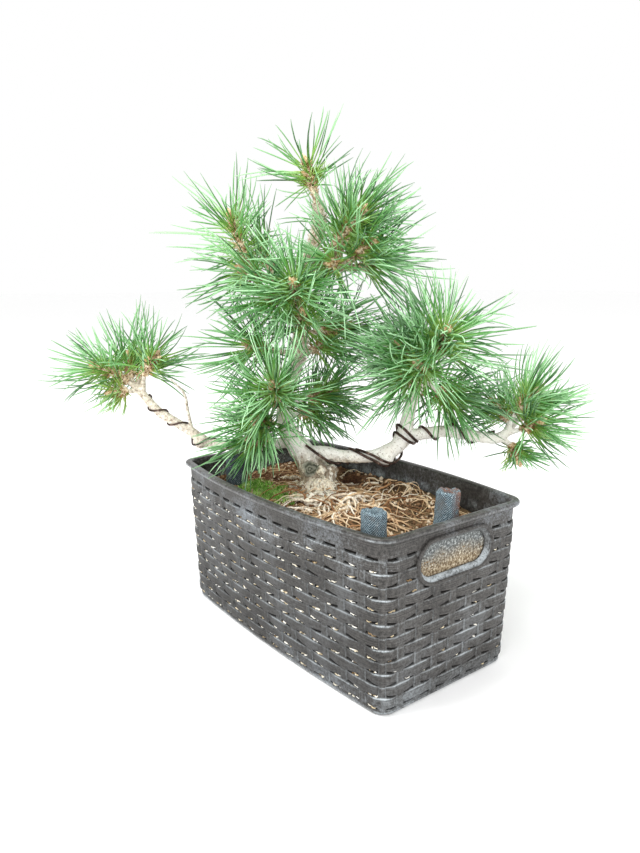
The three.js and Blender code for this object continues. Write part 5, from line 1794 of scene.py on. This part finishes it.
# %% Branched roots
BRANCHED_ROOTS = 27
for number in range(BRANCHED_ROOTS):
    x, y = random.uniform(-12, 96), random.uniform(-42, 60)
    while not inside_basket(x, y, 8) or not clear_ground(x, y, 6) or on_bare_patch(x, y, 0.7):
        x, y = random.uniform(-12, 96), random.uniform(-42, 60)
    heading = random.uniform(0, 2 * math.pi)
    arch = abs(random.normal(2.5, 2.0))
    line = root_line(x, y, heading, random.uniform(30, 62), arch)
    if len(line) < 5:
        continue
    tint = random.uniform(0.30, 0.68)
    thick = random.uniform(0.8, 1.35)
    root_parts.append(root_tube(line, 3.0, thick, 0.5, 5, tint))
    for _ in range(random.integers(1, 4)):
        start = random.integers(1, len(line) - 1)
        here, after = line[start], line[start + 1]
        turned = math.atan2(after[1] - here[1], after[0] - here[0])
        turned += random.choice([-1, 1]) * random.uniform(0.5, 1.1)
        start_lift = here[2] - ground(here[0], here[1]) - 0.5
        side_line = root_line(here[0], here[1], turned, random.uniform(10, 26), 1.0, start_lift)
        if len(side_line) < 4:
            continue
        root_parts.append(root_tube(side_line, 3.0, 0.7 * thick, 0.45 / 0.7, 4, tint))
branched = len(root_parts)
print(branched, "thick, white and branched roots")

# %% Fine roots
FINE_ROOTS = 180
while len(root_parts) < branched + FINE_ROOTS:
    from_trunk = random.random() < 0.3
    if from_trunk:
        angle = random.uniform(-1.9, 0.5)
        x = TRUNK_FOOT[0] + 19 * math.cos(angle)
        y = TRUNK_FOOT[1] + 19 * math.sin(angle)
        heading = angle + random.normal(0, 0.35)
    else:
        x = random.normal(20, 42)
        y = random.normal(-4, 38)
        heading = random.uniform(0, 2 * math.pi)
    if not inside_basket(x, y) or not clear_ground(x, y, 3) or on_bare_patch(x, y, 0.75):
        continue
    arch = abs(random.normal(0, 4.2))
    line = root_line(x, y, heading, random.uniform(18, 60), arch)
    if len(line) < 4:
        continue
    # Painted shade: roots that lie low, with little arch, get a darker tint.
    tint = random.beta(1.1, 1.5) * (0.55 + 0.45 * min(arch / 3, 1)) * (0.7 if x > 55 else 1)
    thick = random.choice([0.4, 0.55, 0.75, 1.0, 1.3], p=[0.27, 0.30, 0.25, 0.13, 0.05])
    root_parts.append(root_tube(line, 3.4, thick, 0.5, 4, tint))

# %% Roots along the far long side
FAR_ROOTS = 22
for number in range(FAR_ROOTS):
    x, y = random.uniform(-16, 62), random.uniform(64, 73)
    line = root_line(x, y, random.normal(0, 0.7) + math.pi * (number % 2), 22, 2.5, 1.0)
    if len(line) > 3:
        thick = random.uniform(0.6, 1.2)
        root_parts.append(root_tube(line, 3.0, thick, 0.5, 4, random.uniform(0.35, 0.95)))
print(len(root_parts), "roots on the soil")

# %% Roots draped over the flare
DRAPED_ROOTS = 110


def top_of_flare(x, y):
    """Height of the wood there, or of the soil where it is bare."""
    place, normal, _, _ = wood_tree.ray_cast(Vector((x, y, 133.0)), Vector((0, 0, -1)), 20.0)
    bare = ground(x, y)
    return max(bare, place[2]) if place is not None and normal[2] > 0 else bare


for number in range(DRAPED_ROOTS):
    angle = random.normal(-0.62, 0.55)
    reach = random.uniform(13, 34)
    x = TRUNK_FOOT[0] + reach * math.cos(angle)
    y = TRUNK_FOOT[1] + reach * math.sin(angle)
    heading = angle + random.normal(0, 0.7)
    lift = random.uniform(0.2, 1.0)
    line = []
    for step in range(random.integers(4, 9)):
        line.append((x, y, top_of_flare(x, y) + lift + random.normal(0, 0.3)))
        x += 3.5 * math.cos(heading)
        y += 3.5 * math.sin(heading)
        heading += random.normal(0, 0.28)
    if all(inside_basket(*spot[:2]) and clear_ground(*spot[:2]) for spot in line):
        thick = random.uniform(0.45, 1.15)
        root_parts.append(root_tube(line, 2.6, thick, 0.6, 5, random.uniform(0.72, 1.0)))

# %% Root knuckles
knuckle = read_shape(fresh(bpy.ops.mesh.primitive_ico_sphere_add, subdivisions=2, radius=MM))
knuckle_places = [
    (-14, -18, 4.2), (-8, -24, 3.4), (-2, -30, 4.0), (4, -26, 2.8), (-18, -30, 3.0), (0, -6, 4.2),
    (6, -2, 3.2), (22, 2, 2.4)]
for x, y, size in knuckle_places:
    bumps = 1 + 0.30 * rough_noise(knuckle["points"] * 3 + x, 0.5, 3)
    ball_points = knuckle["points"] * bumps[:, None] * size * (1.15, 0.95, 0.85)
    placed = (ball_points + (x, y, ground(x, y) + 0.6 * size))[None]
    root_parts.append(copies(
        knuckle, placed, np.array([random.uniform(0.9, 1.0)]), np.zeros(len(ball_points))))
root_finish = new_finish("fine_roots", roughness=0.8, specular=0.2)
root_tone = ramp(root_finish, reading(root_finish, "tint"), [
    (0.05, (0.20, 0.085, 0.035)), (0.30, (0.48, 0.26, 0.12)), (0.58, (0.76, 0.58, 0.37)),
    (0.92, (0.93, 0.87, 0.74))])
root_grain = cloud(root_finish, 500, 4)
paint(root_finish, blend(root_finish, grey_ramp(root_finish, root_grain, 0.35, 0.55, 0.5, 0.0),
                         root_tone, (0.17, 0.085, 0.04)), None, root_grain, 0.4, 0.0003)
roots = build_piece("root_tangle", root_parts, [root_finish])
hand_in(roots, "soil")

# %% Crumbs of grit
CRUMBS = 2900
crumb = read_shape(fresh(bpy.ops.mesh.primitive_ico_sphere_add, subdivisions=1, radius=MM))
crumb_places, crumb_sizes = [], []
while len(crumb_places) < CRUMBS:
    x, y = random.uniform(-134, 134), random.uniform(-82, 82)
    if inside_basket(x, y, 3) and clear_ground(x, y, 0.5):
        size = random.choice([0.7, 1.0, 1.5, 2.3], p=[0.35, 0.35, 0.22, 0.08])
        crumb_places.append((x, y, ground(x, y) + size * 0.25))
        crumb_sizes.append(size)
crumb_places = np.array(crumb_places)
stretch = random.uniform(0.6, 1.3, (len(crumb_places), 1, 3))
dents = random.uniform(0.75, 1.2, (len(crumb_places), len(crumb["points"]), 1))
placed = crumb["points"][None] * stretch * dents * np.array(crumb_sizes)[:, None, None]
placed = placed + crumb_places[:, None]
crumb_finish = tinted_finish("grit", [
    (0.05, (0.045, 0.026, 0.015)), (0.35, (0.155, 0.080, 0.038)), (0.70, (0.33, 0.20, 0.11)),
    (0.97, (0.66, 0.56, 0.42))], 0.95, 0.15)
crumb_copies = copies(crumb, placed, random.random(len(placed)), np.zeros(len(crumb["points"])))
crumbs = build_piece("soil_crumbs", [crumb_copies], [crumb_finish], smooth=False)
hand_in(crumbs, "soil")

# %% Dry needles
DRY_NEEDLES = 170
litter_parts = []
while len(litter_parts) < DRY_NEEDLES:
    x, y = random.uniform(-130, 130), random.uniform(-78, 78)
    heading = random.uniform(0, 2 * math.pi)
    length = random.uniform(14, 42)
    ends = [(x + share * length * math.cos(heading), y + share * length * math.sin(heading))
            for share in (0, 0.5, 1)]
    if not all(inside_basket(*e, 4) and clear_ground(*e, 2) for e in ends):
        continue
    line = [(ex, ey, ground(ex, ey) + 0.7 + random.uniform(0, 1.2)) for ex, ey in ends]
    litter_parts.append(tube(smooth_route(line, 6.0), 0.42, 4, random.random()))
litter_finish = tinted_finish("dry_needles", [
    (0.1, (0.20, 0.095, 0.04)), (0.5, (0.42, 0.24, 0.11)), (0.9, (0.66, 0.49, 0.28))], 0.7)
litter = build_piece("dry_needle_litter", litter_parts, [litter_finish])
hand_in(litter, "soil")

# %% [markdown]
# ### Moss
# Moss is a cushion of short leafy stems. A stem is one slim three-sided cone, and the stems of
# a clump share a height and a green, so that the cushion is as uneven as a real one.

# %% Moss
MOSS_STEMS = 5200
STEMS_IN_CLUMP = 24
blade = read_shape(fresh(
    bpy.ops.mesh.primitive_cone_add, vertices=3, radius1=0.5 * MM, radius2=0.0, depth=MM,
    end_fill_type="NOTHING", location=(0, 0, MM / 2)))
blade_run = blade["points"][:, 2].copy()
moss_spots = [
    (-72, -40, 17, 10), (-50, -32, 16, 10), (-30, -34, 12, 9), (-86, -32, 9, 9), (-62, -20, 10, 6)]
feet, tints, tall = [], [], []
while len(feet) < MOSS_STEMS:
    cx, cy, wide, deep = moss_spots[random.choice(5, p=[0.33, 0.3, 0.13, 0.14, 0.10])]
    clump_x, clump_y = random.normal(cx, wide * 0.66), random.normal(cy, deep * 0.66)
    clump_tint, clump_height = random.uniform(0.15, 0.85), random.uniform(0.6, 1.15)
    for _ in range(STEMS_IN_CLUMP):
        x, y = random.normal(clump_x, 1.6), random.normal(clump_y, 1.6)
        if inside_basket(x, y, 3) and clear_ground(x, y, 1.5):
            feet.append((x, y, ground(x, y) - 0.3))
            tints.append(min(max(clump_tint + random.normal(0, 0.22), 0), 1))
            tall.append(clump_height)
feet = np.array(feet)
ways = random.normal(0, 0.55, feet.shape) + (0, 0, 1.0)
ways[:, 2] = np.abs(ways[:, 2]) + 0.2
ways /= np.linalg.norm(ways, axis=1)[:, None]
lengths = random.uniform(1.8, 6.2, len(feet)) * np.array(tall)
placed = bent_rods(blade, blade_run, np.full(len(blade_run), 1.15), feet, ways, lengths,
                   np.zeros(feet.shape))
moss_finish = tinted_finish("moss", [
    (0.05, (0.045, 0.12, 0.010)), (0.42, (0.15, 0.36, 0.040)), (0.76, (0.34, 0.64, 0.12)),
    (0.98, (0.74, 0.84, 0.38))], 0.75, 0.3)
moss = build_piece(
    "moss", [copies(blade, placed, np.array(tints), blade_run)], [moss_finish], smooth=False)
hand_in(moss, "soil")

# %% [markdown]
# ### What is caught in the slots
# Water washes root ends and pale grit into the basket's slots. Each bit is a short crooked tube
# laid across a slot. Nearly every slot of the long sides holds two to four, others fewer.

# %% Bits of root and grit caught in the slots
slot_parts = []
for side, count in enumerate(POSTS_ON_SIDE):
    pitch = LONG_PITCH if side % 2 else SHORT_PITCH
    for row in range(ROWS):
        height = FIRST_ROW + row * ROW
        for stake in range(count):
            likely = 0.92 if side % 2 else 0.42
            if random.random() > likely or height > 116:
                continue
            if side % 2 == 0 and height > 92 and 1 < stake < 6:
                continue
            for _ in range(random.integers(2, 5) if side % 2 else 1):
                middle = stake + 0.5 + random.uniform(-0.24, 0.24)
                half = random.uniform(0.8, 3.6) / pitch
                rise = random.normal(0, 0.5)
                line = []
                for step in np.linspace(-1, 1, 5):
                    share = (middle + half * step) / count
                    proud = -0.7 + 1.7 * (1 - step ** 2) * random.uniform(0.4, 1.0)
                    level = height + rise * step + random.uniform(-0.7, 0.6)
                    line.append(wall_places(np.array(side), np.array(share), level, proud))
                slot_parts.append(tube(
                    np.array(line), random.uniform(0.24, 0.62), 4, random.beta(1.6, 0.8)))
print(len(slot_parts), "bits in the slots")
bits_finish = tinted_finish("caught_bits", [
    (0.05, (0.24, 0.15, 0.07)), (0.45, (0.66, 0.55, 0.36)), (0.75, (0.93, 0.88, 0.74)),
    (1.0, (1.0, 0.99, 0.95))], 0.8, 0.2)
slot_bits = build_piece("slot_bits", slot_parts, [bits_finish])
hand_in(slot_bits, "soil")
